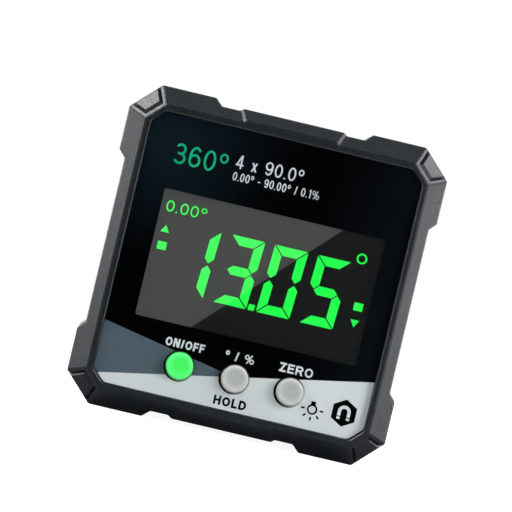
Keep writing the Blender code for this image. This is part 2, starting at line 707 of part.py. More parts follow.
def make_keys():
    """Each key: a round cap held behind the shelf by its flange, a switch and the switch's plunger."""
    colours = {"on_off": (0.06, 0.87, 0.13)}
    switch_front = PLUNGER_Y + SEAT
    switch_back = BOARD_Y - SEAT
    for name, x in key_places():
        spot = place(x, 0, KEY_ROW_Z)
        profile = [(0, CROWN_Y)]
        for step in range(KEY_EDGE_STEPS + 1):
            angle = math.pi / 2 * step / KEY_EDGE_STEPS
            profile.append((KEY_RADIUS - KEY_EDGE + KEY_EDGE * math.sin(angle),
                            CROWN_Y + KEY_EDGE * (1 - math.cos(angle))))
        flange_back = FLANGE_Y + KEY_FLANGE_THICK
        profile += [(KEY_RADIUS, FLANGE_Y), (KEY_RADIUS + KEY_FLANGE, FLANGE_Y),
                    (KEY_RADIUS + KEY_FLANGE, flange_back), (0, flange_back)]
        cap = turned("cap", profile, spot)
        smooth(cap)
        finish(cap, f"{name}_key", colours.get(name, (0.52, 0.55, 0.55)), 0.4)
        set_origin(cap, place(x, CROWN_Y, KEY_ROW_Z))
        pin_end = switch_back - SWITCH_FLOOR - SEAT - KEY_TRAVEL
        pin = rod("pin", spot, PLUNGER_RADIUS, PLUNGER_Y, pin_end, steps=SMALL_ROUND)
        smooth(pin)
        finish(pin, f"{name}_plunger", (0.04, 0.04, 0.04), 0.4)
        set_origin(pin, place(x, PLUNGER_Y, KEY_ROW_Z))
        half = SWITCH_SIZE / 2
        body = prism("switch", rectangle(half, half, SWITCH_CORNER, (x, KEY_ROW_Z)), switch_front + KEY_TRAVEL / 2,
                     switch_back)
        cut(body, rod("well", spot, PLUNGER_RADIUS + RUN, switch_front - PAST, switch_back - SWITCH_FLOOR,
                      steps=SMALL_ROUND))
        finish(body, f"{name}_switch", (0.5, 0.5, 0.48), 0.35, 0.6)


def make_cells():
    """Two cells side by side, with their button ends at opposite sides."""
    for name, side in (("upper", 1), ("lower", -1)):
        tip = BAY_HALF_ACROSS - 2 * SEAT - CONTACT_THICK - CONTACT_DIMPLE
        base = tip - CELL_LENGTH
        shoulder = tip - NUB_LENGTH
        end_radius = CELL_RADIUS - CELL_EDGE
        profile = [(0, base), (end_radius, base), (CELL_RADIUS, base + CELL_EDGE),
                   (CELL_RADIUS, shoulder - CELL_EDGE), (end_radius, shoulder), (NUB_RADIUS, shoulder),
                   (NUB_RADIUS, tip), (0, tip)]
        profile = [(radius, side * along) for radius, along in profile]
        item = turned("cell", profile, place(0, CELL_Y, side * CELL_Z), "X")
        smooth(item)
        finish(item, f"{name}_cell", (0.25, 0.27, 0.3), 0.35, 0.5)


def make_contacts():
    """A sprung contact for each cell's flat end, and dimpled plates for the button ends."""
    low, high = TUB_FLOOR_Y + SEAT, CELL_Y + CELL_RADIUS - CONTACT_SHORT
    inner_z = CELL_GAP / 2 + SEAT
    outer_z = BAY_HALF_UP - SEAT
    wall = BAY_HALF_ACROSS - SEAT

    def plate(side, z_low, z_high):
        xs = sorted((side * wall, side * (wall - CONTACT_THICK)))
        corner = CONTACT_CORNER
        outline = [(low, z_low + corner), (low + corner, z_low), (high - corner, z_low), (high, z_low + corner),
                   (high, z_high - corner), (high - corner, z_high), (low + corner, z_high), (low, z_high - corner)]
        return skin("plate", [[place(x, y, z) for y, z in outline] for x in xs])

    def dimple(item, side, z):
        start, end = sorted((side * (wall - CONTACT_THICK / 2), side * (wall - CONTACT_THICK - CONTACT_DIMPLE)))
        return join(item, rod("dimple", place(0, CELL_Y, z), CONTACT_DIMPLE_RADIUS, start, end, "X", SMALL_ROUND))

    finish(dimple(plate(1, -outer_z, outer_z), 1, CELL_Z), "link_contact", NICKEL, 0.3, 1.0)
    finish(plate(-1, inner_z, outer_z), "upper_contact", NICKEL, 0.3, 1.0)
    finish(dimple(plate(-1, -outer_z, -inner_z), -1, -CELL_Z), "lower_contact", NICKEL, 0.3, 1.0)
    for name, side in (("upper", -1), ("lower", 1)):
        start = wall - CONTACT_THICK - SEAT - SPRING_WIRE
        run = SPRING_LENGTH - 2 * SPRING_WIRE
        steps = int(SPRING_TURNS * SPRING_STEPS)
        curve = bpy.data.curves.new(f"{name}_spring", "CURVE")
        curve.dimensions = "3D"
        curve.bevel_depth = SPRING_WIRE
        curve.bevel_resolution = 2
        curve.use_fill_caps = True
        line = curve.splines.new("POLY")
        line.points.add(steps)
        for step in range(steps + 1):
            share = step / steps
            angle = 2 * math.pi * SPRING_TURNS * share
            radius = SPRING_WIDE + (SPRING_NARROW - SPRING_WIDE) * share
            point = place(side * (start - run * share), CELL_Y + radius * math.cos(angle),
                          -side * CELL_Z + radius * math.sin(angle))
            line.points[step].co = (*point, 1.0)
        item = bpy.data.objects.new(f"{name}_spring", curve)
        bpy.context.scene.collection.objects.link(item)
        curve.materials.append(material(f"{name}_spring", STEEL, 0.3, 1.0))


def make_cover():
    """The battery cover: a plate that turns on a pin at each end of its round lower edge."""
    radius = COVER_THICK / 2
    outline = [(COVER_Y, COVER_HALF_UP), (BACK_Y, COVER_HALF_UP)]
    for step in range(COVER_EDGE_STEPS + 1):
        angle = math.pi * step / COVER_EDGE_STEPS
        outline.append((PIVOT_Y + radius * math.cos(angle), PIVOT_Z - radius * math.sin(angle)))
    ends = [[place(side * COVER_HALF_ACROSS, y, z) for y, z in outline] for side in (-1, 1)]
    item = skin("cover", ends)
    reach = COVER_HALF_ACROSS + COVER_PIN_LENGTH
    join(item, rod("pins", place(0, PIVOT_Y, PIVOT_Z), COVER_PIN, -reach, reach, "X", SMALL_ROUND))
    join(item, *[prism("rib", rectangle(COVER_RIB / 2, BAY_HALF_UP - 2 * SEAT, centre=(x, 0)), COVER_RIB_Y,
                       COVER_Y + radius / 2) for x in (-BAY_HALF_ACROSS / 2, 0, BAY_HALF_ACROSS / 2)])
    heights = [COVER_HALF_UP - (index + 1.2) * GRIP_PITCH for index in range(GRIP_GROOVES)]
    cut(item, *[prism("grip", rectangle(GRIP_HALF, GRIP_GROOVE / 2, centre=(0, z)), BACK_Y - GRIP_GROOVE,
                      BACK_Y + PAST) for z in heights])
    smooth(item)
    finish(item, "battery_cover", BLACK_PLASTIC, 0.55)
    set_origin(item, place(0, PIVOT_Y, PIVOT_Z))


def make_screw(name, spot, head_y, head, thick, radius, tip_y, colour):
    """A pan head screw, driven towards -Y, with a cross recess in its head."""
    chamfer = thick * HEAD_CHAMFER
    item = turned(name, [(0, tip_y), (radius * 0.6, tip_y), (radius, tip_y + radius * 0.5), (radius, head_y),
                         (head, head_y), (head, head_y + thick - chamfer), (head - chamfer, head_y + thick),
                         (0, head_y + thick)], spot, "Y", SMALL_ROUND)
    slot, reach = head * SLOT_HALF, head * SLOT_REACH
    centre = (spot.x, spot.z - HALF)
    top = head_y + thick
    floor = top - thick * SLOT_DEPTH
    cut(item, prism("slot", rectangle(slot, reach, centre=centre), floor, top + PAST))
    cut(item, prism("slot", rectangle(reach, slot, centre=centre), floor, top + 2 * PAST))
    smooth(item)
    return finish(item, name, colour, 0.35, 1.0)


def make_screws():
    for index, (x, z) in enumerate(corner_places(SCREW_AT), 1):
        make_screw(f"case_screw_{index}", place(x, 0, z), SCREW_SEAT_Y + SEAT, SCREW_HEAD, SCREW_HEAD_THICK,
                   SCREW_RADIUS, SEAM_Y - SCREW_BITE, STEEL)
    for index, side in enumerate((-1, 1), 1):
        make_screw(f"board_screw_{index}", place(side * POST_X, 0, POST_Z), BOARD_BACK_Y + SEAT, SMALL_SCREW_HEAD,
                   SMALL_SCREW_HEAD_THICK, SMALL_SCREW_RADIUS, BOARD_Y - SMALL_SCREW_BITE, STEEL)


def main():
    clear_scene()
    make_front_bezel()
    make_rear_housing()
    make_magnets()
    make_seal()
    make_window()
    make_display()
    make_board()
    make_keys()
    make_cells()
    make_contacts()
    make_cover()
    make_screws()


main()
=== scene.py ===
"""Looks of the digital angle gauge: surfaces, print, display, keys, light and camera.

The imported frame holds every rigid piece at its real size. This file gives those pieces
their finishes and adds the print behind the window, the lit display and the key caps.
"""
import math

import bmesh
import bpy
import numpy as np
from mathutils import Matrix, Vector
from mathutils.geometry import delaunay_2d_cdt


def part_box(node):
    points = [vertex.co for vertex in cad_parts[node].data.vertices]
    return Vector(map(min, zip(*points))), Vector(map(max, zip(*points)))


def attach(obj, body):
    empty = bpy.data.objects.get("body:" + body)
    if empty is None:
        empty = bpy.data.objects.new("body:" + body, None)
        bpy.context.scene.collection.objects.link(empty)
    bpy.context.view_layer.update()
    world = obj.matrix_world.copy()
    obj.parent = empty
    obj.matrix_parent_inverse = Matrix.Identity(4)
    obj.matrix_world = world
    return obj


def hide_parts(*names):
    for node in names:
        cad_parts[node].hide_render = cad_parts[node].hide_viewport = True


bl_info = {
    "name": "Angle gauge looks",
    "version": (1, 0, 0),
    "blender": (4, 5, 0),
    "location": "3D View > Sidebar > Gauge",
    "description": "Finishes, print and display of a square digital angle gauge",
    "category": "Object",
}

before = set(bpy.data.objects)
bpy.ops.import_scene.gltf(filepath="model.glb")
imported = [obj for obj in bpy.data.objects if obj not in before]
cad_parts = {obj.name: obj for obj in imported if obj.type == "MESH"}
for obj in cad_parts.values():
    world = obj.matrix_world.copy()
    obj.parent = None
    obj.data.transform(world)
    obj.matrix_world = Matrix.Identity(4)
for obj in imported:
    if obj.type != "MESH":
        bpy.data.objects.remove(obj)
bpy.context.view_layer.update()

MM = 0.001
CASE_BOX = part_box("front_bezel")
MIDDLE_Z = (CASE_BOX[0].z + CASE_BOX[1].z) / 2
WINDOW_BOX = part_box("display_window")
WINDOW_HALF = (WINDOW_BOX[1].x - WINDOW_BOX[0].x) / 2 / MM
WINDOW_BACK = WINDOW_BOX[1].y
PANEL_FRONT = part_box("lcd_panel")[0].y
KEYS = ("on_off", "hold", "zero")
INK_THICK = 0.015 * MM
# Twice the area, in square millimetres, up to which a triangle is left out
NO_AREA = 1e-5
CASE_CORNER = 5.2

# The photograph's frame: its size, the gauge's middle in it, its scale and the gauge's turn
PHOTO_SIZE = 512
PHOTO_MIDDLE = (257.4, 275.5)
PHOTO_PIXELS_PER_MM = 5.45
PHOTO_TURN = 13.35
# What is printed lies 1.6 mm nearer than the outline that the photograph's scale is taken at
SEEN_SCALE = 0.9973
SEEN_SHIFT = 0.04


def linear(code):
    """A colour written as six hexadecimal digits, as linear values."""
    values = []
    for start in (0, 2, 4):
        value = int(code[start:start + 2], 16) / 255
        values.append(value / 12.92 if value <= 0.04045 else ((value + 0.055) / 1.055) ** 2.4)
    return tuple(values)


# Meshes


def add_piece(name, mesh):
    piece = bpy.data.objects.new(name, mesh)
    bpy.context.scene.collection.objects.link(piece)
    return piece


def closed_piece(name, points, faces, thick=0.0):
    """A piece from points and faces, which turn outwards; thick draws a flat sheet out along Y."""
    mesh = bpy.data.meshes.new(name)
    mesh.from_pydata(points.tolist(), [], faces)
    work = bmesh.new()
    work.from_mesh(mesh)
    if thick:
        back = bmesh.ops.extrude_face_region(work, geom=work.faces[:])
        moved = [part for part in back["geom"] if isinstance(part, bmesh.types.BMVert)]
        bmesh.ops.translate(work, verts=moved, vec=(0, thick, 0))
    bmesh.ops.recalc_face_normals(work, faces=work.faces)
    work.to_mesh(mesh)
    work.free()
    return add_piece(name, mesh)


def surface(name, grid):
    """A closed mesh over a grid of points: rows run along the profile, columns round it.

    The first and last rows are closed by a fan of triangles to their mean point.
    """
    rows, columns = grid.shape[:2]
    points = np.concatenate([grid.reshape(-1, 3), grid[:1].mean(1), grid[-1:].mean(1)])
    index = np.arange(rows * columns).reshape(rows, columns)
    after = np.roll(index, -1, axis=1)
    quads = np.stack([index[:-1], after[:-1], after[1:], index[1:]], -1).reshape(-1, 4)
    low, high = rows * columns, rows * columns + 1
    first = np.stack([after[0], index[0], np.full(columns, low)], -1)
    last = np.stack([index[-1], after[-1], np.full(columns, high)], -1)
    piece = closed_piece(name, points, quads.tolist() + first.tolist() + last.tolist())
    piece.data.polygons.foreach_set("use_smooth", [True] * len(piece.data.polygons))
    return piece


def cut_plane(loops, lines=()):
    """The plane of the front as triangles that follow every loop and line: its points and its faces."""
    points, edges = [], []
    for loop in loops:
        first, count = len(points), len(loop)
        points += [Vector(point) for point in loop]
        edges += [(first + i, first + (i + 1) % count) for i in range(count)]
    for line in lines:
        edges.append((len(points), len(points) + 1))
        points += [Vector(point) for point in line]
    cut = delaunay_2d_cdt(points, edges, [], 0, 1e-5)
    return np.array([tuple(point) for point in cut[0]]), np.array(cut[2])


def encloses(loop, spots):
    """True where a line to the right of a spot crosses the loop an odd number of times."""
    x, z = spots[:, 0, None], spots[:, 1, None]
    (ax, az), (bx, bz) = np.asarray(loop).T, np.roll(loop, -1, axis=0).T
    rise = np.where(bz == az, 1.0, bz - az)
    return (((az > z) != (bz > z)) & (x < ax + (bx - ax) * (z - az) / rise)).sum(1) % 2 == 1


def inked(shape, spots):
    """True inside an odd number of the shape's loops, so that an inner loop is a hole."""
    return np.logical_xor.reduce([encloses(loop, spots) for loop in shape])


def printed(name, shapes, y):
    """One thin flat piece from shapes in the photograph's millimetres, which may overlap.

    Each shape is a list of loops. The plane is cut along all of them, and a triangle is
    kept where its middle is inside any shape.
    """
    shapes = [[seen(loop) for loop in shape] for shape in shapes]
    spots, faces = cut_plane([loop for shape in shapes for loop in shape])
    middle = spots[faces].mean(1)
    chosen = np.any([inked(shape, middle) for shape in shapes], axis=0)
    return sheet_piece(name, spots, faces[chosen], y)


def seen(loop):
    """Points as measured in the photograph's plane, as they lie a little nearer to the camera."""
    return np.asarray(loop, float) * SEEN_SCALE - (SEEN_SHIFT, 0.0)


def sheet_piece(name, spots, faces, y, thick=INK_THICK):
    """Flat triangles as a thin closed sheet that faces -Y, less those between points on one line."""
    a, b, c = (spots[faces[:, k]] for k in range(3))
    turn = (b[:, 0] - a[:, 0]) * (c[:, 1] - a[:, 1]) - (b[:, 1] - a[:, 1]) * (c[:, 0] - a[:, 0])
    faces = np.where((turn < 0)[:, None], faces[:, ::-1], faces)[np.abs(turn) > NO_AREA]
    used, index = np.unique(faces, return_inverse=True)
    flat = spots[used]
    points = np.stack([flat[:, 0] * MM, np.full(len(flat), y), MIDDLE_Z + flat[:, 1] * MM], -1)
    return closed_piece(name, points, index.reshape(faces.shape).tolist(), thick)


def on_circle(x, z, radius, angle):
    """Points on a circle: the centre plus the radius times the cosine and sine of their angles."""
    return np.stack([x + radius * np.cos(angle), z + radius * np.sin(angle)], -1)


def circle(x, z, radius, count=48):
    return on_circle(x, z, radius, np.linspace(0, 2 * np.pi, count, endpoint=False))


def rounded_rectangle(low_x, low_z, high_x, high_z, radius, count=6):
    """A rectangle whose corners are quarter circles."""
    angle = np.linspace(0, np.pi / 2, count)
    low_x, low_z, high_x, high_z = low_x + radius, low_z + radius, high_x - radius, high_z - radius
    middles = [(high_x, high_z), (low_x, high_z), (low_x, low_z), (high_x, low_z)]
    return np.concatenate([on_circle(x, z, radius, angle + turn * np.pi / 2)
                           for turn, (x, z) in enumerate(middles)])


def cut_corner_square(half, corner, radius, count=5):
    """A square with cut corners, whose eight corners are rounded.

    Each round is an eighth of a circle. Its centre lies on the line that halves the
    corner, at the radius over the cosine of 22.5 degrees from it.
    """
    near, eighth = half - corner, math.radians(22.5)
    sharp = np.array([(half, -near), (half, near), (near, half), (-near, half),
                      (-half, near), (-half, -near), (-near, -half), (near, -half)])
    way = np.radians(-22.5 + 45 * np.arange(8))
    centre = sharp - on_circle(0, 0, radius / math.cos(eighth), way)
    angle = way[:, None] + np.linspace(-eighth, eighth, count)
    return (centre[:, None] + on_circle(0, 0, radius, angle)).reshape(-1, 2)


def turned(name, profile, centre, columns=72):
    """A body of revolution about the Y axis through the centre.

    Each profile point is (radius, depth): x and z are the radius times the cosine and
    sine of the angle round the axis, and y is the depth.
    """
    radius, depth = np.asarray(profile).T
    angle = np.linspace(0, 2 * np.pi, columns, endpoint=False)
    grid = np.stack([radius[:, None] * np.cos(angle), np.repeat(depth[:, None], columns, 1),
                     radius[:, None] * np.sin(angle)], -1)
    piece = surface(name, grid + np.asarray(centre))
    share = np.append(np.repeat(radius / radius.max(), columns), (0.0, 0.0))
    piece.data.attributes.new("from_axis", "FLOAT", "POINT").data.foreach_set("value", share)
    return piece


# Materials


def node_group(name, inputs, outputs):
    """An empty shader node group with named inputs and outputs: (name, type, default)."""
    group = bpy.data.node_groups.new(name, "ShaderNodeTree")
    for label, kind, default in inputs:
        socket = group.interface.new_socket(name=label, in_out="INPUT", socket_type=kind)
        socket.default_value = default
    for label, kind in outputs:
        group.interface.new_socket(name=label, in_out="OUTPUT", socket_type=kind)
    group.nodes.new("NodeGroupInput")
    group.nodes.new("NodeGroupOutput")
    return group


def add_node(tree, kind, links=(), **values):
    """A node with its input values set and its inputs linked: links are (input, source socket)."""
    node = tree.nodes.new(kind)
    for key, value in values.items():
        if hasattr(node, key):
            setattr(node, key, value)
        else:
            node.inputs[key.replace("_", " ")].default_value = value
    for label, source in links:
        tree.links.new(source, node.inputs[label])
    return node


def feed(tree, socket, value):
    """Link an input to a socket, or set it to a number or a colour."""
    if isinstance(value, bpy.types.NodeSocket):
        tree.links.new(value, socket)
    else:
        socket.default_value = (*value, 1.0) if isinstance(value, tuple) else value


def connect(tree, node, **sources):
    """Feed a node's inputs, each named with _ for a space."""
    for key, source in sources.items():
        feed(tree, node.inputs[key.replace("_", " ")], source)


def maths(tree, operation, *values):
    """The result of a maths node on sockets or numbers."""
    node = add_node(tree, "ShaderNodeMath", operation=operation)
    for socket, value in zip(node.inputs, values):
        feed(tree, socket, value)
    return node.outputs[0]


def ramp(tree, source, low, high, start=0.0, end=1.0):
    """A value that runs from start to end as its source runs from low to high."""
    node = add_node(tree, "ShaderNodeMapRange")
    connect(tree, node, Value=source, From_Min=low, From_Max=high, To_Min=start, To_Max=end)
    return node.outputs[0]


def blend(tree, mask, first, second, kind="MIX"):
    """The first colour where the mask is 0 and the second where it is 1; as MULTIPLY, their product."""
    mix = add_node(tree, "ShaderNodeMix", data_type="RGBA", blend_type=kind)
    for index, value in ((0, mask), (6, first), (7, second)):
        feed(tree, mix.inputs[index], value)
    return mix.outputs[2]


def recolour(material, colour):
    """Give a grained finish a colour that varies over the surface."""
    nodes = material.node_tree.nodes
    tint = next(node for node in nodes if node.bl_idname == "ShaderNodeMix" and node.blend_type == "MULTIPLY")
    feed(material.node_tree, tint.inputs[6], colour)


def place_on(tree):
    """A point's place in the object's own coordinates, then its X, Y and Z."""
    where = add_node(tree, "ShaderNodeTexCoord").outputs["Object"]
    return (where, *add_node(tree, "ShaderNodeSeparateXYZ", [("Vector", where)]).outputs)


# The shared grain: its scales per metre, the shares of its noises, and the strength of its bump
GRAIN_SCALE = 5000.0
FLECK_SCALE = 2600.0
SLOW_SCALE = 220.0
GRAIN_SHARE = 0.5
SLOW_SHARE = 0.35
GRAIN_BUMP = 0.6


def grain_group():
    """Fine spark-eroded grain: a height, and a value near 1 that varies the colour and roughness.

    Height is a noise at the scale Fleck plus a finer one, half as strong, at the scale
    Grain. Mottle is 1 plus Mottle Depth times the sum of the first noise and a third of a
    slow noise, both taken about their mean of one half.
    """
    group = node_group("fine_grain", [
        ("Grain", "NodeSocketFloat", GRAIN_SCALE), ("Fleck", "NodeSocketFloat", FLECK_SCALE),
        ("Mottle Depth", "NodeSocketFloat", 0.2),
    ], [("Height", "NodeSocketFloat"), ("Mottle", "NodeSocketFloat")])
    start, end = group.nodes["Group Input"].outputs, group.nodes["Group Output"]
    where = add_node(group, "ShaderNodeTexCoord").outputs["Object"]

    def noise(scale, detail):
        node = add_node(group, "ShaderNodeTexNoise", [("Vector", where)], Detail=detail)
        connect(group, node, Scale=scale)
        return node.outputs["Fac"]

    fleck = noise(start["Fleck"], 1.0)
    height = maths(group, "MULTIPLY_ADD", noise(start["Grain"], 2.0), GRAIN_SHARE, fleck)
    slow = maths(group, "MULTIPLY_ADD", noise(SLOW_SCALE, 4.0), SLOW_SHARE, -0.5 * (1 + SLOW_SHARE))
    uneven = maths(group, "ADD", fleck, slow)
    mottle = maths(group, "MULTIPLY_ADD", uneven, start["Mottle Depth"], 1.0)
    connect(group, end, Height=height, Mottle=mottle)
    return group


def add_grain(tree, **values):
    """The shared grain in a material: its outputs Height and Mottle."""
    group = bpy.data.node_groups.get("fine_grain") or grain_group()
    return add_node(tree, "ShaderNodeGroup", node_tree=group, **values).outputs


def principled(name, **values):
    """A material with one Principled shader and its plain values set on the shader's own sockets."""
    material = bpy.data.materials.new(name)
    material.use_nodes = True
    shader = material.node_tree.nodes["Principled BSDF"]
    connect(material.node_tree, shader, **values)
    return material, material.node_tree, shader


def grained(name, colour, roughness, grain=GRAIN_SCALE, bump=0.02, mottle=0.2, **values):
    """A moulded or coated finish: the shared grain varies the colour and roughness and lifts the surface."""
    material, tree, shader = principled(name, **values)
    grainy = add_grain(tree, Grain=grain, Mottle_Depth=mottle)
    lift = add_node(tree, "ShaderNodeBump")
    connect(tree, lift, Height=grainy["Height"], Strength=GRAIN_BUMP, Distance=bump * MM)
    connect(tree, shader, Base_Color=blend(tree, 1.0, colour, grainy["Mottle"], "MULTIPLY"),
            Roughness=maths(tree, "MULTIPLY", grainy["Mottle"], roughness), Normal=lift.outputs["Normal"])
    return material


def dress(piece, material):
    piece.data.materials.clear()
    piece.data.materials.append(material)
    return piece


def dress_nodes(names, material):
    for name in names:
        dress(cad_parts[name], material)


# Settings that a user would change


def colour_setting(name, description, code):
    return bpy.props.FloatVectorProperty(
        name=name, description=description, subtype="COLOR", size=3, default=linear(code))


class GaugePrintSettings(bpy.types.PropertyGroup):
    reading: bpy.props.StringProperty(
        name="Reading", description="Digits on the display, with one point", default="13.05")
    light_field: colour_setting("Light field", "Light grey print at the bottom", "e4ecee")
    slate_field: colour_setting("Slate field", "Slate print at the lower left", "596873")
    lit_segment: colour_setting("Lit segments", "Colour of the lit digits", "1aff4c")


class GaugeFinishSettings(bpy.types.PropertyGroup):
    case_colour: colour_setting("Case", "Moulded case plastic", "050e14")
    case_roughness: bpy.props.FloatProperty(
        name="Case roughness", description="Roughness of the case plastic", default=0.38,
        min=0.05, max=1.0, subtype="FACTOR")
    green_key: colour_setting("Green key", "Colour of the on and off key", "42f060")
    grey_key: colour_setting("Grey keys", "Colour of the other two keys", "a3a9a8")


class GaugeStageSettings(bpy.types.PropertyGroup):
    distance: bpy.props.FloatProperty(
        name="Camera distance", description="Camera to the front of the case", default=0.6,
        min=0.2, max=3.0, unit="LENGTH")
    camera_left: bpy.props.FloatProperty(
        name="Camera to the left", description="How far round to the left",
        default=math.radians(1.5), subtype="ANGLE")
    camera_up: bpy.props.FloatProperty(
        name="Camera up", description="How far the camera looks down",
        default=math.radians(0.5), subtype="ANGLE")


# Pieces


class GAUGE_OT_case(bpy.types.Operator):
    """Finish the bezel, the rear housing, the cover and the seal between them"""
    bl_idname = "gauge.case"
    bl_label = "Case"

    def execute(self, context):
        values = context.scene.gauge_finish
        colour = tuple(values.case_colour)
        plastic = grained("case_plastic", colour, values.case_roughness, grain=5200.0, bump=0.05, mottle=0.9,
                          Specular_IOR_Level=0.35)
        tree = plastic.node_tree
        # A painted highlight: a paler tone on the lip round the window, where its edge catches the light
        recolour(plastic, blend(tree, window_lip_highlight(tree), colour, LIP_HIGHLIGHT_COLOUR))
        dress_nodes(["front_bezel", "rear_housing", "battery_cover"], plastic)
        rubber = grained("seal_rubber", linear("202224"), 0.75, grain=2500.0)
        dress_nodes(["housing_seal"], rubber)
        lip = dress(seal_lip(), rubber)
        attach(lip, "case")
        return {"FINISHED"}


# The painted highlight on the lip round the window, a paler tone where its edge catches the light: how far it
# reaches from the window's edge, how softly it ends, how deep it goes, and the heights between which it fades
# in from below, where the lip lies in shade
LIP_HIGHLIGHT_COLOUR = linear("464d53")
LIP_REACH = 0.3 * MM
LIP_SOFT = (-0.02 * MM, 0.04 * MM)
LIP_DEPTH = 0.2 * MM
LIP_HIGHLIGHT_FADE = (-22 * MM, -14 * MM)


def window_lip_highlight(tree):
    """1 on the narrow lip of the bezel round the window, where a highlight is painted, 0 elsewhere and along
    the bottom, where the lip lies in shade.

    The distance from the middle is measured square to the nearest side or cut corner: it
    is the largest of |x|, |z| and their sum over the root of 2, less a constant.
    """
    _, x, y, z = place_on(tree)
    across, up = maths(tree, "ABSOLUTE", x), maths(tree, "ABSOLUTE", maths(tree, "SUBTRACT", z, MIDDLE_Z))
    half, diagonal = WINDOW_HALF * MM, math.sqrt(0.5)
    slant = maths(tree, "MULTIPLY_ADD", maths(tree, "ADD", across, up), diagonal,
                  half - (2 * half - WINDOW_CUT * MM) * diagonal)
    away = maths(tree, "MAXIMUM", maths(tree, "MAXIMUM", across, up), slant)
    near = ramp(tree, away, *[half + LIP_REACH + soft for soft in LIP_SOFT], 1.0, 0.0)
    shallow = ramp(tree, y, WINDOW_BOX[0].y, WINDOW_BOX[0].y + LIP_DEPTH, 1.0, 0.0)
    # The painted highlight fades out towards the bottom, where the lip lies in shade
    upper = ramp(tree, z, *[MIDDLE_Z + fade for fade in LIP_HIGHLIGHT_FADE])
    return maths(tree, "MULTIPLY", maths(tree, "MULTIPLY", near, shallow), upper)


# The seal's lip keeps inside the valleys, the bumpers and the cut corners by these amounts, and
# outside the cavity
SEAL_IN_VALLEY = 1.6
SEAL_IN_BUMPER = 0.45
SEAL_INNER = 3.9
SEAL_ROOM = 0.02 * MM
BUMPER_STARTS = (15.2, 17.2)


def seal_lip():
    """The seal's flat lip in the joint between the bezel and the housing.

    Its outer line runs along the valleys and steps out to each pair of bumpers and the
    cut corner between them. One corner is given, and the other three are mirrored.
    """
    front, back = CASE_BOX[1].y + SEAL_ROOM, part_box("rear_housing")[0].y - SEAL_ROOM
    half = (CASE_BOX[1].x - CASE_BOX[0].x) / 2 / MM
    low, high = half - SEAL_IN_VALLEY, half - SEAL_IN_BUMPER
    cut = half - CASE_CORNER - SEAL_IN_BUMPER * (math.sqrt(2) - 1)
    across, up = BUMPER_STARTS
    corner = np.array([(low, up), (high, up), (high, cut), (cut, high), (across, high), (across, low)])
    outer = np.concatenate([corner, corner[::-1] * (-1, 1), -corner, corner[::-1] * (1, -1)])
    inner = cut_corner_square(half - SEAL_INNER, CASE_CORNER - SEAL_INNER * (2 - math.sqrt(2)), 0.5)
    spots, faces = cut_plane([outer, inner])
    ring = inked([outer, inner], spots[faces].mean(1))
    return sheet_piece("seal_lip", spots, faces[ring], front, back - front)


class GAUGE_OT_window(bpy.types.Operator):
    """Make the window clear, and print its fields and its black border behind it"""
    bl_idname = "gauge.window"
    bl_label = "Window and printed fields"

    def execute(self, context):
        values = context.scene.gauge_print
        glass, _, _ = principled("window_glass", Base_Color=(1.0, 1.0, 1.0), Roughness=0.01, IOR=1.22,
                                 Transmission_Weight=1.0)
        dress_nodes(["display_window"], glass)
        inks = {
            # The black border's ink carries a painted reflection
            "print_black_shade_and_reflection": border_ink_and_reflection(),
            "print_light": ink("ink_light", tuple(values.light_field)),
            "print_slate": ink("ink_slate", tuple(values.slate_field)),
        }
        for piece in printed_fields():
            dress(piece, inks[piece.name])
            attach(piece, "case")
        return {"FINISHED"}


def ink(name, colour):
    """Ink on the back of the window, without a gloss of its own: the glass over it gives that."""
    return grained(name, colour, 0.6, bump=0.002, mottle=0.04, Specular_IOR_Level=0.0)


BORDER_BLACK = linear("020304")
# Painted reflection in the black border: a bluish tone at its upper left corner and a paler one near its
# right edge
BORDER_CORNER_REFLECTION = (0.006, 0.0135, 0.0205)
BORDER_SIDE_REFLECTION = (0.004, 0.0065, 0.0092)
# The painted reflection's middle near the upper left corner, to the left and up from the window's, and where
# the corner and side reflections fade
REFLECTION_CORNER_AT = 22 * MM
REFLECTION_CORNER_FADE = (3 * MM, 23 * MM)
REFLECTION_SIDE_FADE = (10 * MM, 25 * MM)


def border_ink_and_reflection():
    """The black border's ink with a painted reflection: a little bluer near its upper left corner and paler
    near its right edge.
    """
    material = ink("ink_black_and_reflection", BORDER_BLACK)
    tree = material.node_tree
    where, x, _, _ = place_on(tree)
    away = add_node(tree, "ShaderNodeVectorMath", [(0, where)], operation="DISTANCE")
    away.inputs[1].default_value = (-REFLECTION_CORNER_AT, WINDOW_BACK, MIDDLE_Z + REFLECTION_CORNER_AT)
    corner = ramp(tree, away.outputs["Value"], *REFLECTION_CORNER_FADE, 1.0, 0.0)
    tone = blend(tree, corner, BORDER_BLACK, BORDER_CORNER_REFLECTION)
    recolour(material, blend(tree, ramp(tree, x, *REFLECTION_SIDE_FADE), tone, BORDER_SIDE_REFLECTION))
    return material


# Layers behind the window, from its back face
LETTER_LAYER = 0.02 * MM
BADGE_LAYER = 0.05 * MM
COLOUR_LAYER = 0.08 * MM
EDGE_OF_PRINT = 0.1
WINDOW_CUT = 2.35
WINDOW_ROUND = 1.2
KEY_HOLE = 2.7
# A black ring round each key hole, shifted low and left, is painted shadow in the gap round each key
KEY_SHADOW_RING = (2.83, -0.13, -0.13)
DISPLAY_OPENING = (-20.2, -12.0, 21.3, 11.75)
OPENING_CORNER = 0.5
FIELD_RISE_AT_0 = -19.07
FIELD_SLOPE = 0.195


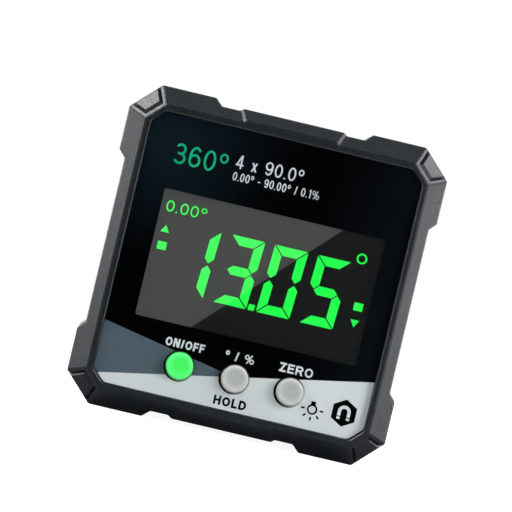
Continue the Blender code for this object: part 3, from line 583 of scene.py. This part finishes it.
def printed_fields():
    """The black, light and slate fields as three flat pieces that share one sheet.

    The outlines of the window, the display opening, the key holes and the two straight
    field edges cut the sheet into triangles. A triangle is light where its middle is
    below the rising edge, slate where it is between the rising and the falling edge,
    black elsewhere and in the ring round each key hole, and left out inside a hole. The
    black rings are painted shadow: they lie a little low and to the left of their holes,
    so that a crescent of painted shade shows in the gap below and left of each key.
    """
    half = WINDOW_HALF - EDGE_OF_PRINT
    outline = cut_corner_square(half, WINDOW_CUT, WINDOW_ROUND)
    keys = [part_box(f"{key}_key") for key in KEYS]
    middles = [((low.x + high.x) / 2 / MM, ((low.z + high.z) / 2 - MIDDLE_Z) / MM) for low, high in keys]
    holes = [rounded_rectangle(*DISPLAY_OPENING, OPENING_CORNER)]
    holes += [circle(x, z, KEY_HOLE, 64) for x, z in middles]
    # Painted shadow: black rings shifted low and left of the key holes
    reach, aside, below = KEY_SHADOW_RING
    shadow_rings = [circle(x + aside, z + below, reach, 64) for x, z in middles]
    lines = [[(x, FIELD_RISE_AT_0 + slope * x) for x in (-half, half)]
             for slope in (FIELD_SLOPE, -FIELD_SLOPE)]
    spots, faces = cut_plane([outline, *holes, *shadow_rings], lines)
    middle = spots[faces].mean(1)
    x, z = middle.T
    sheet = encloses(outline, middle) & ~np.any([encloses(hole, middle) for hole in holes], axis=0)
    plain = sheet & ~np.any([encloses(ring, middle) for ring in shadow_rings], axis=0)
    light = plain & (z < FIELD_RISE_AT_0 + FIELD_SLOPE * x)
    slate = plain & ~light & (z < FIELD_RISE_AT_0 - FIELD_SLOPE * x)
    fields = {"print_black_shade_and_reflection": sheet & ~light & ~slate, "print_light": light, "print_slate": slate}
    return [sheet_piece(name, spots, faces[chosen], WINDOW_BACK + COLOUR_LAYER)
            for name, chosen in fields.items()]


class GAUGE_OT_lettering(bpy.types.Operator):
    """Print the words of the keys, the plain numbers above the display and the signs below it"""
    bl_idname = "gauge.lettering"
    bl_label = "Letters and signs"

    def execute(self, context):
        white = ink("ink_white", linear("e4eaef"))
        black = ink("ink_word_black", linear("060708"))
        green = ink("ink_green", linear("1fc488"))
        y = WINDOW_BACK + LETTER_LAYER
        words = [
            ("word_on_off", "ON/OFF", (-13.6, -16.2, -6.3, -14.6), 0.34, white),
            ("word_percent", "° / %", (-2.4, -16.2, 3.1, -14.5), 0.32, white),
            ("word_zero", "ZERO", (7.8, -16.1, 14.1, -14.4), 0.34, white),
            ("word_hold", "HOLD", (-2.6, -24.7, 3.5, -23.0), 0.4, black),
            ("number_turn", "360°", (-19.9, 16.6, -10.0, 20.4), 0.42, green),
            ("number_quarter", "4 x 90.0°", (-8.6, 18.3, 4.1, 20.8), 0.3, white),
            ("number_step", "0.00° - 90.00° / 0.1%", (-8.6, 16.0, 7.7, 17.6), 0.21, white),
        ]
        pieces = [dress(printed(name, lettering(text, box, stroke), y), colour)
                  for name, text, box, stroke, colour in words]
        pieces.append(dress(printed("sign_bulb", bulb_sign(), y), black))
        pieces.append(dress(printed("sign_magnet", magnet_sign(), y), white))
        pieces.append(dress(printed("badge_field", [[badge_outline()]], WINDOW_BACK + BADGE_LAYER), black))
        for piece in pieces:
            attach(piece, "case")
        return {"FINISHED"}


# Each sign: its width as a share of its height, then its strokes in a box from 0 to 1 both ways.
# A stroke is a line from one end to another, cut level, or else what its word says. bar: two ends,
# cut square. ring and arc: middle, radii, and for an arc its first and last angle. A fifth value
# thins a line or a ring.
SIGNS = {
    "O": (0.80, [("ring", 0.5, 0.5, 0.5, 0.5)]),
    "N": (0.74, [(0, 0, 0, 1), (0.08, 1, 0.92, 0), (1, 0, 1, 1)]),
    "F": (0.60, [(0, 0, 0, 1), (0, 1, 1, 1), (0, 0.5, 0.85, 0.5)]),
    "E": (0.64, [(0, 0, 0, 1), (0, 1, 1, 1), (0, 0.53, 0.9, 0.53), (0, 0, 1, 0)]),
    "H": (0.72, [(0, 0, 0, 1), (1, 0, 1, 1), (0, 0.53, 1, 0.53)]),
    "L": (0.58, [(0, 0, 0, 1), (0, 0, 1, 0)]),
    "D": (0.74, [(0, 0, 0, 1), (0, 1, 0.4, 1), (0, 0, 0.4, 0),
                 ("arc", 0.4, 0.5, 0.6, 0.5, -90, 90)]),
    "Z": (0.66, [(0, 1, 1, 1), (0.08, 0, 0.92, 1), (0, 0, 1, 0)]),
    "R": (0.74, [(0, 0, 0, 1), (0, 1, 0.55, 1), (0, 0.46, 0.55, 0.46),
                 ("arc", 0.55, 0.73, 0.4, 0.27, -90, 90), (0.95, 0, 0.55, 0.46)]),
    "/": (0.38, [(0.1, 0, 0.9, 1)]),
    "-": (0.36, [(0, 0.42, 1, 0.42)]),
    "x": (0.50, [(0.1, 0, 0.9, 0.62), (0.9, 0, 0.1, 0.62)]),
    ".": (0.14, [("dot",)]),
    "°": (0.44, [("ring", 0.5, 0.78, 0.5, 0.22, 0.8)]),
    "%": (1.04, [("ring", 0.2, 0.75, 0.2, 0.25, 0.7), ("ring", 0.8, 0.25, 0.2, 0.25, 0.7),
                 (0.25, 0, 0.75, 1, 0.7)]),
    "0": (0.58, [("ring", 0.5, 0.5, 0.5, 0.5)]),
    "1": (0.34, [(1, 0, 1, 1), ("bar", 0.1, 0.78, 0.95, 0.97)]),
    "3": (0.56, [("arc", 0.45, 0.755, 0.45, 0.245, 155, -90), ("arc", 0.47, 0.255, 0.53, 0.255, 90, -155),
                 (0.3, 0.51, 0.45, 0.51)]),
    "4": (0.60, [(0.72, 0, 0.72, 1), (0, 0.24, 1, 0.24), (0.04, 0.24, 0.68, 1)]),
    "6": (0.58, [("ring", 0.5, 0.3, 0.5, 0.3), ("arc", 0.53, 0.5, 0.53, 0.5, 42, 180), (0, 0.3, 0, 0.5)]),
    "9": (0.58, [("ring", 0.5, 0.7, 0.5, 0.3), ("arc", 0.47, 0.5, 0.53, 0.5, -138, 0), (1, 0.5, 1, 0.7)]),
}
SIGN_SPACE = 0.26
SIGN_GAP = 0.15


def lettering(text, box, stroke):
    """The shapes of a line of upright signs, fitted to a box (low x, low z, high x, high z)."""
    low_x, low_z, high_x, high_z = box
    widths = [SIGNS[sign][0] if sign != " " else SIGN_SPACE for sign in text]
    scale = (high_x - low_x) / (sum(widths) + SIGN_GAP * (len(text) - 1))
    shapes, x = [], low_x
    for sign, width in zip(text, widths):
        if sign != " ":
            size = width * scale, high_z - low_z
            shapes += [sign_stroke(part, x, low_z, *size, stroke) for part in SIGNS[sign][1]]
        x += (width + SIGN_GAP) * scale
    return shapes


def sign_stroke(part, x, z, width, height, stroke):
    """One stroke of a sign as a list of loops; its middle line keeps half a stroke from the sign's box."""
    kind, *values = part if isinstance(part[0], str) else ("line", *part)
    wide, tall = max(width - stroke, 0.0), height - stroke
    x, z, half = x + stroke / 2, z + stroke / 2, stroke / 2
    if kind == "dot":
        return [rounded_rectangle(x - half, z - half, x + half, z + half, 0.2 * stroke, 3)]
    x0, z0 = x + values[0] * wide, z + values[1] * tall
    if len(values) == 5:
        half *= values[4]
    if kind in ("ring", "arc"):
        turns = (np.linspace(0, 2 * np.pi, 32, endpoint=False) if kind == "ring"
                 else np.radians(np.linspace(values[4], values[5], 24)))
        outer, inner = curved_stroke(x0, z0, values[2] * wide, values[3] * tall, turns, half)
        return [outer, inner] if kind == "ring" else [np.concatenate([outer, inner[::-1]])]
    x1, z1 = x + values[2] * wide, z + values[3] * tall
    if kind == "bar":
        return [bar(x0, z0, x1, z1, 2 * half)]
    if z0 == z1:
        low, high = z0 - half, z0 + half
        return [np.array([(x0 - half, low), (x1 + half, low), (x1 + half, high), (x0 - half, high)])]
    if z0 > z1:
        x0, z0, x1, z1 = x1, z1, x0, z0
    reach = half * math.hypot(1.0, (x1 - x0) / (z1 - z0))
    low, high = z0 - stroke / 2, z1 + stroke / 2
    return [np.array([(x0 - reach, low), (x0 + reach, low), (x1 + reach, high), (x1 - reach, high)])]


def curved_stroke(x, z, radius_x, radius_z, angle, half):
    """The outer and inner line of a stroke along an ellipse: half a stroke from it, along its normals."""
    along = np.stack([x + radius_x * np.cos(angle), z + radius_z * np.sin(angle)], -1)
    normal = np.stack([radius_z * np.cos(angle), radius_x * np.sin(angle)], -1)
    normal /= np.linalg.norm(normal, axis=1, keepdims=True)
    return along + half * normal, along - half * normal


def bar(x0, z0, x1, z1, width):
    """A straight stroke from one point to another, with square ends."""
    start, end = np.array((x0, z0)), np.array((x1, z1))
    along = (end - start) / np.linalg.norm(end - start)
    side = np.array((-along[1], along[0])) * width / 2
    return np.array([start - side, end - side, end + side, start + side])


BULB = (15.45, -21.6)
BULB_RADIUS = 0.97
BULB_STROKE = 0.32
BULB_RAYS = (1.4, 2.1)
BULB_RAY_TURNS = (180, 225, 270, 315, 360)
# The bulb's base: its lower and upper end over the middle, and its width
BULB_BASE = (0.85, 1.5, 0.85)
BADGE = (21.3, -20.9)
BADGE_RADIUS = 2.55
# The magnet: how far its arch lies above the badge's middle, its radii, its legs' length, and the
# start and end of its tips below the legs
MAGNET_UP = 0.2
MAGNET_RADII = (1.2, 0.6)
MAGNET_LEG = 0.85
MAGNET_TIP = (0.18, 0.6)


def bulb_sign():
    """A bulb hanging from its base, with five rays under it."""
    (x, z), (low, high, width) = BULB, BULB_BASE
    shapes = [[circle(x, z, BULB_RADIUS, 32), circle(x, z, BULB_RADIUS - BULB_STROKE, 32)],
              [bar(x, z + low, x, z + high, width)]]
    inner, outer = BULB_RAYS
    for angle in np.radians(BULB_RAY_TURNS):
        shapes.append([bar(*on_circle(x, z, inner, angle), *on_circle(x, z, outer, angle), BULB_STROKE)])
    return shapes


def badge_outline():
    """A plain six-sided field with a point at the top."""
    return on_circle(*BADGE, BADGE_RADIUS, np.radians(30 + 60 * np.arange(6)))


def magnet_sign():
    """A plain horseshoe, open downwards: a half ring with a straight leg and a parted tip at each end."""
    x, z = BADGE[0], BADGE[1] + MAGNET_UP
    (outer, inner), (near, far) = MAGNET_RADII, MAGNET_TIP
    angle, foot = np.linspace(0, np.pi, 24), z - MAGNET_LEG
    arch = np.concatenate([
        [(x + outer, foot)], on_circle(x, z, outer, angle), [(x - outer, foot), (x - inner, foot)],
        on_circle(x, z, inner, angle[::-1]), [(x + inner, foot)]])
    legs = [x + side * (outer + inner) / 2 for side in (-1, 1)]
    return [[arch], *[[bar(leg, foot - near, leg, foot - far, outer - inner)] for leg in legs]]


class GAUGE_OT_display(bpy.types.Operator):
    """Light the display: the film over the glass, the digits, their point, the ring and the side marks"""
    bl_idname = "gauge.display"
    bl_label = "Display"

    def execute(self, context):
        values = context.scene.gauge_print
        # The film and the lit segments carry a painted reflection, pale to the left of a slanting line
        dress_nodes(["lcd_panel"], reflection_toned("display_film_and_reflection", *FILM_TONES_AND_REFLECTION, Roughness=0.35))
        lit = reflection_toned("lit_segment", *LIT_TONES_AND_REFLECTION, Roughness=0.4, Emission_Color=tuple(values.lit_segment),
                    Emission_Strength=1.0)
        for name, shapes in digits(values.reading) + side_marks():
            piece = dress(printed(name, shapes, PANEL_FRONT - SEGMENT_LAYER), lit)
            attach(piece, "case")
        return {"FINISHED"}


# Display, in millimetres from the middle of the front
DIGIT_WIDTH = 6.3
DIGIT_HEIGHT = 12.8
DIGIT_LOW = -6.5
DIGIT_STROKE = 1.7
DIGIT_GAP = 0.15
DIGIT_TIP = 0.2
DIGIT_RIGHTS = (-8.5, -0.3, 7.85, 16.0)
DEGREE_RING = (17.98, 7.4, 0.98, 0.68)
DIGIT_SLANT = math.tan(math.radians(3.0))
# The point: its first and last place to the right of a digit, and its height
POINT_BOX = (0.3, 1.45, 1.12)
MARK_UP = [(-19.2, 3.85), (-17.6, 3.85), (-18.4, 5.2)]
MARK_DOWN = [(18.5, -3.8), (20.1, -3.8), (19.3, -5.2)]
MARK_LEFT = (-19.2, 0.6, -17.5, 2.1)
MARK_RIGHT = (18.5, -2.1, 20.2, -0.6)
MARK_ROUND = 0.1
MARK_NUMBER = ("0.00°", (-19.2, 7.7, -11.6, 9.8), 0.27)
SEGMENTS_LIT = {"0": "abcdef", "1": "bc", "2": "abged", "3": "abgcd", "4": "fgbc", "5": "afgcd",
                "6": "afgedc", "7": "abc", "8": "abcdefg", "9": "abcdfg"}
SEGMENT_LAYER = 0.1 * MM
# The painted reflection across the display: where its edge meets the opening's lower and upper edge, how
# softly it ends, and the pale reflected and dark tones of the film and of the lit segments
REFLECTION_TOP_X = 13.4
REFLECTION_LOW_X = -9.7
REFLECTION_SOFT = 0.06 * MM
FILM_TONES_AND_REFLECTION = (linear("525252"), linear("161616"))
LIT_TONES_AND_REFLECTION = (linear("484848"), linear("101010"))


def reflection_tone_group():
    """The display's two tones, a painted reflection on its left: 0 left of a line from its lower to its upper
    edge, and 1 right of it.
    """
    group = node_group("display_reflection_tone", [], [("Mask", "NodeSocketFloat")])
    _, x, _, z = place_on(group)
    low_z, high_z = (MIDDLE_Z + DISPLAY_OPENING[index] * MM for index in (1, 3))
    lean = (REFLECTION_TOP_X - REFLECTION_LOW_X) * MM / (high_z - low_z)
    side = maths(group, "SUBTRACT", x, maths(group, "MULTIPLY", z, lean))
    edge = REFLECTION_LOW_X * MM - lean * low_z
    connect(group, group.nodes["Group Output"], Mask=ramp(group, side, edge - REFLECTION_SOFT, edge + REFLECTION_SOFT))
    return group


def reflection_toned(name, pale, dark, **values):
    """A finish in the display's two tones, a painted reflection that is pale left of the line and dark right
    of it, varied a little by the shared grain.
    """
    material, tree, shader = principled(name, Specular_IOR_Level=0.2, **values)
    group = bpy.data.node_groups.get("display_reflection_tone") or reflection_tone_group()
    mask = add_node(tree, "ShaderNodeGroup", node_tree=group).outputs["Mask"]
    mottle = add_grain(tree, Mottle_Depth=0.04)["Mottle"]
    connect(tree, shader, Base_Color=blend(tree, 1.0, blend(tree, mask, pale, dark), mottle, "MULTIPLY"))
    return material


def slanted(points):
    """Points leaned to the right in proportion to their height above the middle."""
    points = np.array(points, float)
    points[:, 0] += DIGIT_SLANT * points[:, 1]
    return points


def segment(kind, right):
    """One segment of a digit: a stroke with pointed ends, a thin gap from its neighbours."""
    left, low, high = right - DIGIT_WIDTH, DIGIT_LOW, DIGIT_LOW + DIGIT_HEIGHT
    stroke, gap, half = DIGIT_STROKE, DIGIT_GAP, DIGIT_STROKE / 2
    middle = (low + high) / 2
    if kind in "ad":
        edge, inner = (high, high - stroke) if kind == "a" else (low, low + stroke)
        return [(left + gap, edge), (right - gap, edge), (right - stroke - gap, inner),
                (left + stroke + gap, inner)]
    if kind == "g":
        first, last = left + half + gap / 2, right - half - gap / 2
        return [(first, middle), (first + half, middle + half), (last - half, middle + half),
                (last, middle), (last - half, middle - half), (first + half, middle - half)]
    outer, way = (right, -1) if kind in "bc" else (left, 1)
    up = 1 if kind in "bf" else -1
    end = high if up == 1 else low
    inner, waist = outer + way * stroke, middle + up * (half + DIGIT_TIP)
    return [(outer, end - up * gap), (inner, end - up * (stroke + gap)), (inner, waist),
            (outer + way * half, middle + up * DIGIT_TIP), (outer, waist)]


def digits(reading):
    """The reading in seven-segment digits, its point, and the degree ring after it, as names and shapes."""
    signs, place = [], 0
    for sign in reading:
        if sign == ".":
            right, (first, last, height) = DIGIT_RIGHTS[place - 1], POINT_BOX
            dot = rounded_rectangle(right + first, DIGIT_LOW, right + last, DIGIT_LOW + height, MARK_ROUND)
            signs.append(("digit_point", [[slanted(dot)]]))
            continue
        lit = [[slanted(segment(kind, DIGIT_RIGHTS[place]))] for kind in SEGMENTS_LIT[sign]]
        place += 1
        signs.append((f"digit_{place}", lit))
    x, z, outer, inner = DEGREE_RING
    signs.append(("degree_ring", [[circle(x, z, outer), circle(x, z, inner)]]))
    return signs


def side_marks():
    """The marks at the left and right of the digits, and the small number at the upper left."""
    return [
        ("mark_up", [[MARK_UP]]),
        ("mark_left", [[rounded_rectangle(*MARK_LEFT, MARK_ROUND)]]),
        ("mark_right", [[rounded_rectangle(*MARK_RIGHT, MARK_ROUND)]]),
        ("mark_down", [[MARK_DOWN]]),
        ("mark_number", lettering(*MARK_NUMBER)),
    ]


class GAUGE_OT_keys(bpy.types.Operator):
    """Make the three key caps, each with a round edge and a shallow dish in its crown"""
    bl_idname = "gauge.keys"
    bl_label = "Keys"

    def execute(self, context):
        values = context.scene.gauge_finish
        green = key_finish("key_green", tuple(values.green_key), linear("62ff86"))
        grey = key_finish("key_grey", tuple(values.grey_key), linear("c4c2bc"))
        for key in KEYS:
            low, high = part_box(f"{key}_key")
            centre = ((low.x + high.x) / 2, 0.0, (low.z + high.z) / 2)
            piece = turned(f"{key}_cap", key_profile(low.y, high.y, (high.x - low.x) / 2), centre)
            dress(piece, green if key == "on_off" else grey)
            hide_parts(f"{key}_key")
            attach(piece, key)
        dress_nodes([f"{key}_plunger" for key in KEYS],
                    grained("plunger", linear("1c1c1c"), 0.4, mottle=0.05))
        dress_nodes([f"{key}_switch" for key in KEYS],
                    grained("switch_shell", linear("b8b8b4"), 0.35, mottle=0.1, Metallic=0.8))
        return {"FINISHED"}


def key_finish(name, crown, rim):
    """Satin moulding that is a little paler towards the rim of its crown."""
    material = grained(name, crown, 0.45, grain=3500.0, bump=0.004, mottle=0.04, Specular_IOR_Level=0.2)
    tree = material.node_tree
    across = add_node(tree, "ShaderNodeAttribute", attribute_name="from_axis").outputs["Fac"]
    recolour(material, blend(tree, ramp(tree, across, *RIM_FROM), crown, rim))
    return material


# Shares of the flange's radius between which a key grows paler
RIM_FROM = (0.35, 0.8)
KEY_RADIUS = 2.5 * MM
KEY_EDGE = 0.45 * MM
KEY_DISH = 0.16 * MM
DISH_POWER = 2.2
CROWN_FROM = 0.02 * MM
FLANGE_THICK = 0.6 * MM
FLANGE_BEVEL = 0.1 * MM


def key_profile(crown, back, flange):
    """Radius and depth from the middle of the crown to the back of the flange.

    The dish follows a raised cosine from the middle to the rim, the rim is a quarter
    circle, and the skirt runs straight back to the flange.
    """
    rim = KEY_RADIUS - KEY_EDGE
    r = np.linspace(CROWN_FROM, rim, 14)
    dish = np.stack([r, crown + KEY_DISH * (0.5 + 0.5 * np.cos(np.pi * (r / rim) ** DISH_POWER))], -1)
    angle = np.linspace(0, np.pi / 2, 9)[1:]
    edge = np.stack([rim + KEY_EDGE * np.sin(angle), crown + KEY_EDGE * (1 - np.cos(angle))], -1)
    front, inset = back - FLANGE_THICK, flange - FLANGE_BEVEL
    skirt = np.array([(KEY_RADIUS, front), (inset, front), (flange, front + FLANGE_BEVEL),
                      (flange, back - FLANGE_BEVEL), (inset, back)])
    return np.concatenate([dish, edge, skirt])


class GAUGE_OT_inside(bpy.types.Operator):
    """Finish what the case holds: board, chips, display parts, cells and contacts"""
    bl_idname = "gauge.inside"
    bl_label = "Inside"

    def execute(self, context):
        dress_nodes(["main_board"],
                    grained("board_green", linear("1b5a33"), 0.35, grain=900.0, bump=0.03, mottle=0.5))
        dress_nodes(["processor_chip", "tilt_sensor"],
                    grained("chip_body", linear("232325"), 0.5, mottle=0.1))
        dress_nodes(["light_guide"], grained("light_guide", linear("e6e8e4"), 0.3, mottle=0.05))
        dress_nodes(["lcd_frame"], grained("frame_white", linear("dcdedc"), 0.5, mottle=0.05))
        dress_nodes(["lcd_connector"], connector_stripes())
        dress_nodes(["upper_cell", "lower_cell"], cell_wrap())
        dress_nodes(["link_contact", "upper_contact", "lower_contact", "upper_spring", "lower_spring"],
                    grained("nickel_strip", linear("cfcabc"), 0.28, mottle=0.15, Metallic=1.0))
        return {"FINISHED"}


# The contact strip's stripes, per metre, and how far the cells' wraps reach from the middle
STRIPE_SCALE = 1400.0
WRAP_END = 19.6 * MM


def connector_stripes():
    """Thin dark layers across a pink strip, repeated along its length."""
    material, tree, shader = principled("contact_strip", Roughness=0.7)
    where = add_node(tree, "ShaderNodeTexCoord").outputs["Object"]
    wave = add_node(tree, "ShaderNodeTexWave", [("Vector", where)], Scale=STRIPE_SCALE)
    connect(tree, shader, Base_Color=blend(tree, wave.outputs["Fac"], linear("2a2426"), linear("c58a90")))
    return material


def cell_wrap():
    """A plain dark wrap that gives way to bare metal near the two ends."""
    material, tree, shader = principled("cell_wrap")
    bare = maths(tree, "GREATER_THAN", maths(tree, "ABSOLUTE", place_on(tree)[1]), WRAP_END)
    mottle = add_grain(tree, Mottle_Depth=0.08)["Mottle"]
    colour = blend(tree, bare, linear("2b3a4a"), linear("c9c9c6"))
    connect(tree, shader, Base_Color=blend(tree, 1.0, colour, mottle, "MULTIPLY"), Metallic=bare,
            Roughness=maths(tree, "MULTIPLY", mottle, 0.3))
    return material


class GAUGE_OT_metal(bpy.types.Operator):
    """Finish the screws and the magnets"""
    bl_idname = "gauge.metal"
    bl_label = "Screws and magnets"

    def execute(self, context):
        dress_nodes([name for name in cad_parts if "_screw_" in name], grained(
            "screw_zinc", linear("a9abad"), 0.32, grain=1500.0, mottle=0.3, Metallic=1.0))
        dress_nodes([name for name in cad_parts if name.startswith("magnet_")], grained(
            "magnet_nickel", linear("c6c3bb"), 0.22, grain=1200.0, bump=0.01, Metallic=1.0))
        return {"FINISHED"}


class GAUGE_OT_stage(bpy.types.Operator):
    """Set the pale floor, the white surroundings, the lamps and the camera of the photograph"""
    bl_idname = "gauge.stage"
    bl_label = "Stage"

    def execute(self, context):
        make_floor()
        make_world(context.scene)
        for name, place, size, power in LAMPS:
            add_lamp(name, place, size, power)
        make_camera(context.scene)
        context.scene.view_settings.view_transform = "Standard"
        return {"FINISHED"}


# The bezel is widest where its slope ends
BEZEL_SLOPE = 3.5 * MM
# Name, place, width and height in metres, power in watts. The side lamps are low, so that the top
# doesn't mirror them in views from the side
LAMPS = [
    ("lamp_left", (-0.55, 0.0, 0.09), (0.3, 0.12), 0.48),
    ("lamp_upper_left", (-0.424, 0.0, 0.454), (0.3, 0.3), 4.6),
    ("lamp_upper_right", (0.424, 0.0, 0.454), (0.3, 0.3), 2.8),
    ("lamp_behind_left", (-0.525, 0.245, 0.07), (0.3, 0.12), 1.35),
    ("lamp_behind_right", (0.525, 0.245, 0.06), (0.3, 0.12), 1.75),
    ("lamp_front_right", (0.418, -0.418, 0.134), (0.5, 0.5), 4.2),
    ("lamp_front_left", (-0.35, -0.5, 0.2), (0.5, 0.5), 1.1),
    ("lamp_top", (0.0, 0.0, 0.63), (0.3, 0.3), 0.15),
    ("lamp_back", (0.1, 0.6, 0.35), (0.5, 0.5), 2.0),
]
# The floor: its tones, how it glows near the gauge and between which distances that fades, where its
# front part ends, and where glossy rays begin to see its glow
FLOOR_RADIUS = 0.32
FLOOR_PALE = 0.4
FLOOR_DARK = 0.03
GLOW_NEAR = 0.93
GLOW_FADE = (0.10, 0.30)
FLOOR_FRONT = (-0.09, -0.04)
FLOOR_BACK = (0.05, 0.3)
# The world's light, and the span of its directions in which glossy rays begin to see it white
WORLD_GREY = (0.015, 0.018, 0.02)
WORLD_BACK = (0.0, 0.5)


def seen_directly(tree, back):
    """1 for camera rays, and for glossy and transmitted rays where the value back is 1."""
    path = add_node(tree, "ShaderNodeLightPath").outputs
    through = maths(tree, "MAXIMUM", path["Is Glossy Ray"], path["Is Transmission Ray"])
    return maths(tree, "MAXIMUM", path["Is Camera Ray"], maths(tree, "MULTIPLY", through, back))


def make_floor():
    """A pale floor that glows up to white where it is seen directly, and keeps the shadow of the gauge.

    The glow is a little less near the gauge, where lamplight makes up the rest. Further
    in front, where the window would mirror it, the floor is dark and its glow is full.
    """
    mesh = bpy.data.meshes.new("floor")
    rim = circle(0.0, 0.0, FLOOR_RADIUS, 96)
    mesh.from_pydata([(x, y, 0.0) for x, y in rim], [], [tuple(range(len(rim)))])
    floor = add_piece("floor", mesh)
    material, tree, shader = principled(
        "floor_pale", Roughness=0.9, Specular_IOR_Level=0.0, Emission_Color=(1.0, 1.0, 1.0))
    where, _, y, _ = place_on(tree)
    away = add_node(tree, "ShaderNodeVectorMath", [(0, where)], operation="LENGTH").outputs["Value"]
    pale = blend(tree, ramp(tree, y, *FLOOR_FRONT), (FLOOR_DARK,) * 3, (FLOOR_PALE,) * 3)
    full = maths(tree, "MAXIMUM", ramp(tree, away, *GLOW_FADE, GLOW_NEAR, 1.0),
                 ramp(tree, y, *FLOOR_FRONT, 1.0, GLOW_NEAR))
    glow = maths(tree, "MULTIPLY", full, seen_directly(tree, ramp(tree, y, *FLOOR_BACK)))
    connect(tree, shader, Base_Color=pale, Emission_Strength=glow)
    dress(floor, material)


def make_world(scene):
    """White where it is seen directly, and dim grey as light and behind the camera."""
    world = bpy.data.worlds.new("surroundings")
    world.use_nodes = True
    tree = world.node_tree
    tree.nodes.clear()
    way = add_node(tree, "ShaderNodeTexCoord").outputs["Generated"]
    back = ramp(tree, add_node(tree, "ShaderNodeSeparateXYZ", [("Vector", way)]).outputs["Y"], *WORLD_BACK)
    dim = add_node(tree, "ShaderNodeBackground", Color=(*WORLD_GREY, 1.0))
    white = add_node(tree, "ShaderNodeBackground", Color=(1.0, 1.0, 1.0, 1.0), Strength=1.0)
    mix = add_node(tree, "ShaderNodeMixShader", [
        (0, seen_directly(tree, back)), (1, dim.outputs[0]), (2, white.outputs[0])])
    add_node(tree, "ShaderNodeOutputWorld", [("Surface", mix.outputs[0])])
    scene.world = world


def add_lamp(name, place, size, power):
    """A flat lamp that faces the middle of the gauge."""
    light = bpy.data.lights.new(name, "AREA")
    light.shape = "RECTANGLE"
    light.size, light.size_y = size
    light.energy = power
    lamp = bpy.data.objects.new(name, light)
    bpy.context.scene.collection.objects.link(lamp)
    lamp.location = place
    lamp.rotation_euler = (Vector((0, 0, MIDDLE_Z)) - Vector(place)).to_track_quat("-Z", "Y").to_euler()


def make_camera(scene):
    """The photograph's view: its scale, its middle and the gauge's turn in the picture.

    The camera's own right and up are the level ones turned by the gauge's turn, and its
    aim is moved so that the middle of the case falls on its pixel.
    """
    values = scene.gauge_stage
    left, up = values.camera_left, values.camera_up
    back = Vector((-math.sin(left) * math.cos(up), -math.cos(left) * math.cos(up), math.sin(up)))
    level_right = Vector((0, 0, 1)).cross(back).normalized()
    level_up = back.cross(level_right)
    turn = math.radians(PHOTO_TURN)
    right = level_right * math.cos(turn) + level_up * math.sin(turn)
    above = level_up * math.cos(turn) - level_right * math.sin(turn)
    widest = Vector((0, CASE_BOX[0].y + BEZEL_SLOPE, MIDDLE_Z))
    offset_x = (PHOTO_SIZE / 2 - PHOTO_MIDDLE[0]) / PHOTO_PIXELS_PER_MM * MM
    offset_y = (PHOTO_MIDDLE[1] - PHOTO_SIZE / 2) / PHOTO_PIXELS_PER_MM * MM
    aim = widest + right * offset_x + above * offset_y
    data = bpy.data.cameras.new("camera")
    data.sensor_width = 36.0
    data.lens = data.sensor_width * values.distance * PHOTO_PIXELS_PER_MM / (PHOTO_SIZE * MM)
    data.clip_start, data.clip_end = 0.01, 20.0
    camera = bpy.data.objects.new("camera", data)
    scene.collection.objects.link(camera)
    place = aim + back * values.distance
    turned_axes = Matrix((right, above, back)).transposed().to_4x4()
    camera.matrix_world = Matrix.Translation(place) @ turned_axes
    scene.camera = camera


class GAUGE_PT_panel(bpy.types.Panel):
    bl_idname = "GAUGE_PT_panel"
    bl_label = "Angle gauge"
    bl_space_type = "VIEW_3D"
    bl_region_type = "UI"
    bl_category = "Gauge"

    def draw(self, context):
        layout = self.layout
        for group in SETTINGS:
            values = getattr(context.scene, group)
            for name in values.bl_rna.properties.keys():
                if name not in ("rna_type", "name"):
                    layout.prop(values, name)
        for operator in OPERATORS:
            layout.operator(operator.bl_idname)


OPERATORS = (GAUGE_OT_case, GAUGE_OT_window, GAUGE_OT_lettering, GAUGE_OT_display, GAUGE_OT_keys,
             GAUGE_OT_inside, GAUGE_OT_metal, GAUGE_OT_stage)
SETTINGS = {"gauge_print": GaugePrintSettings, "gauge_finish": GaugeFinishSettings,
            "gauge_stage": GaugeStageSettings}
CLASSES = (*SETTINGS.values(), *OPERATORS, GAUGE_PT_panel)


def register():
    for kind in CLASSES:
        bpy.utils.register_class(kind)
    for name, settings in SETTINGS.items():
        setattr(bpy.types.Scene, name, bpy.props.PointerProperty(type=settings))


def unregister():
    for name in SETTINGS:
        delattr(bpy.types.Scene, name)
    for kind in reversed(CLASSES):
        bpy.utils.unregister_class(kind)


def main():
    register()
    for operator in OPERATORS:
        group, name = operator.bl_idname.split(".")
        getattr(getattr(bpy.ops, group), name)()


if __name__ == "__main__":
    main()
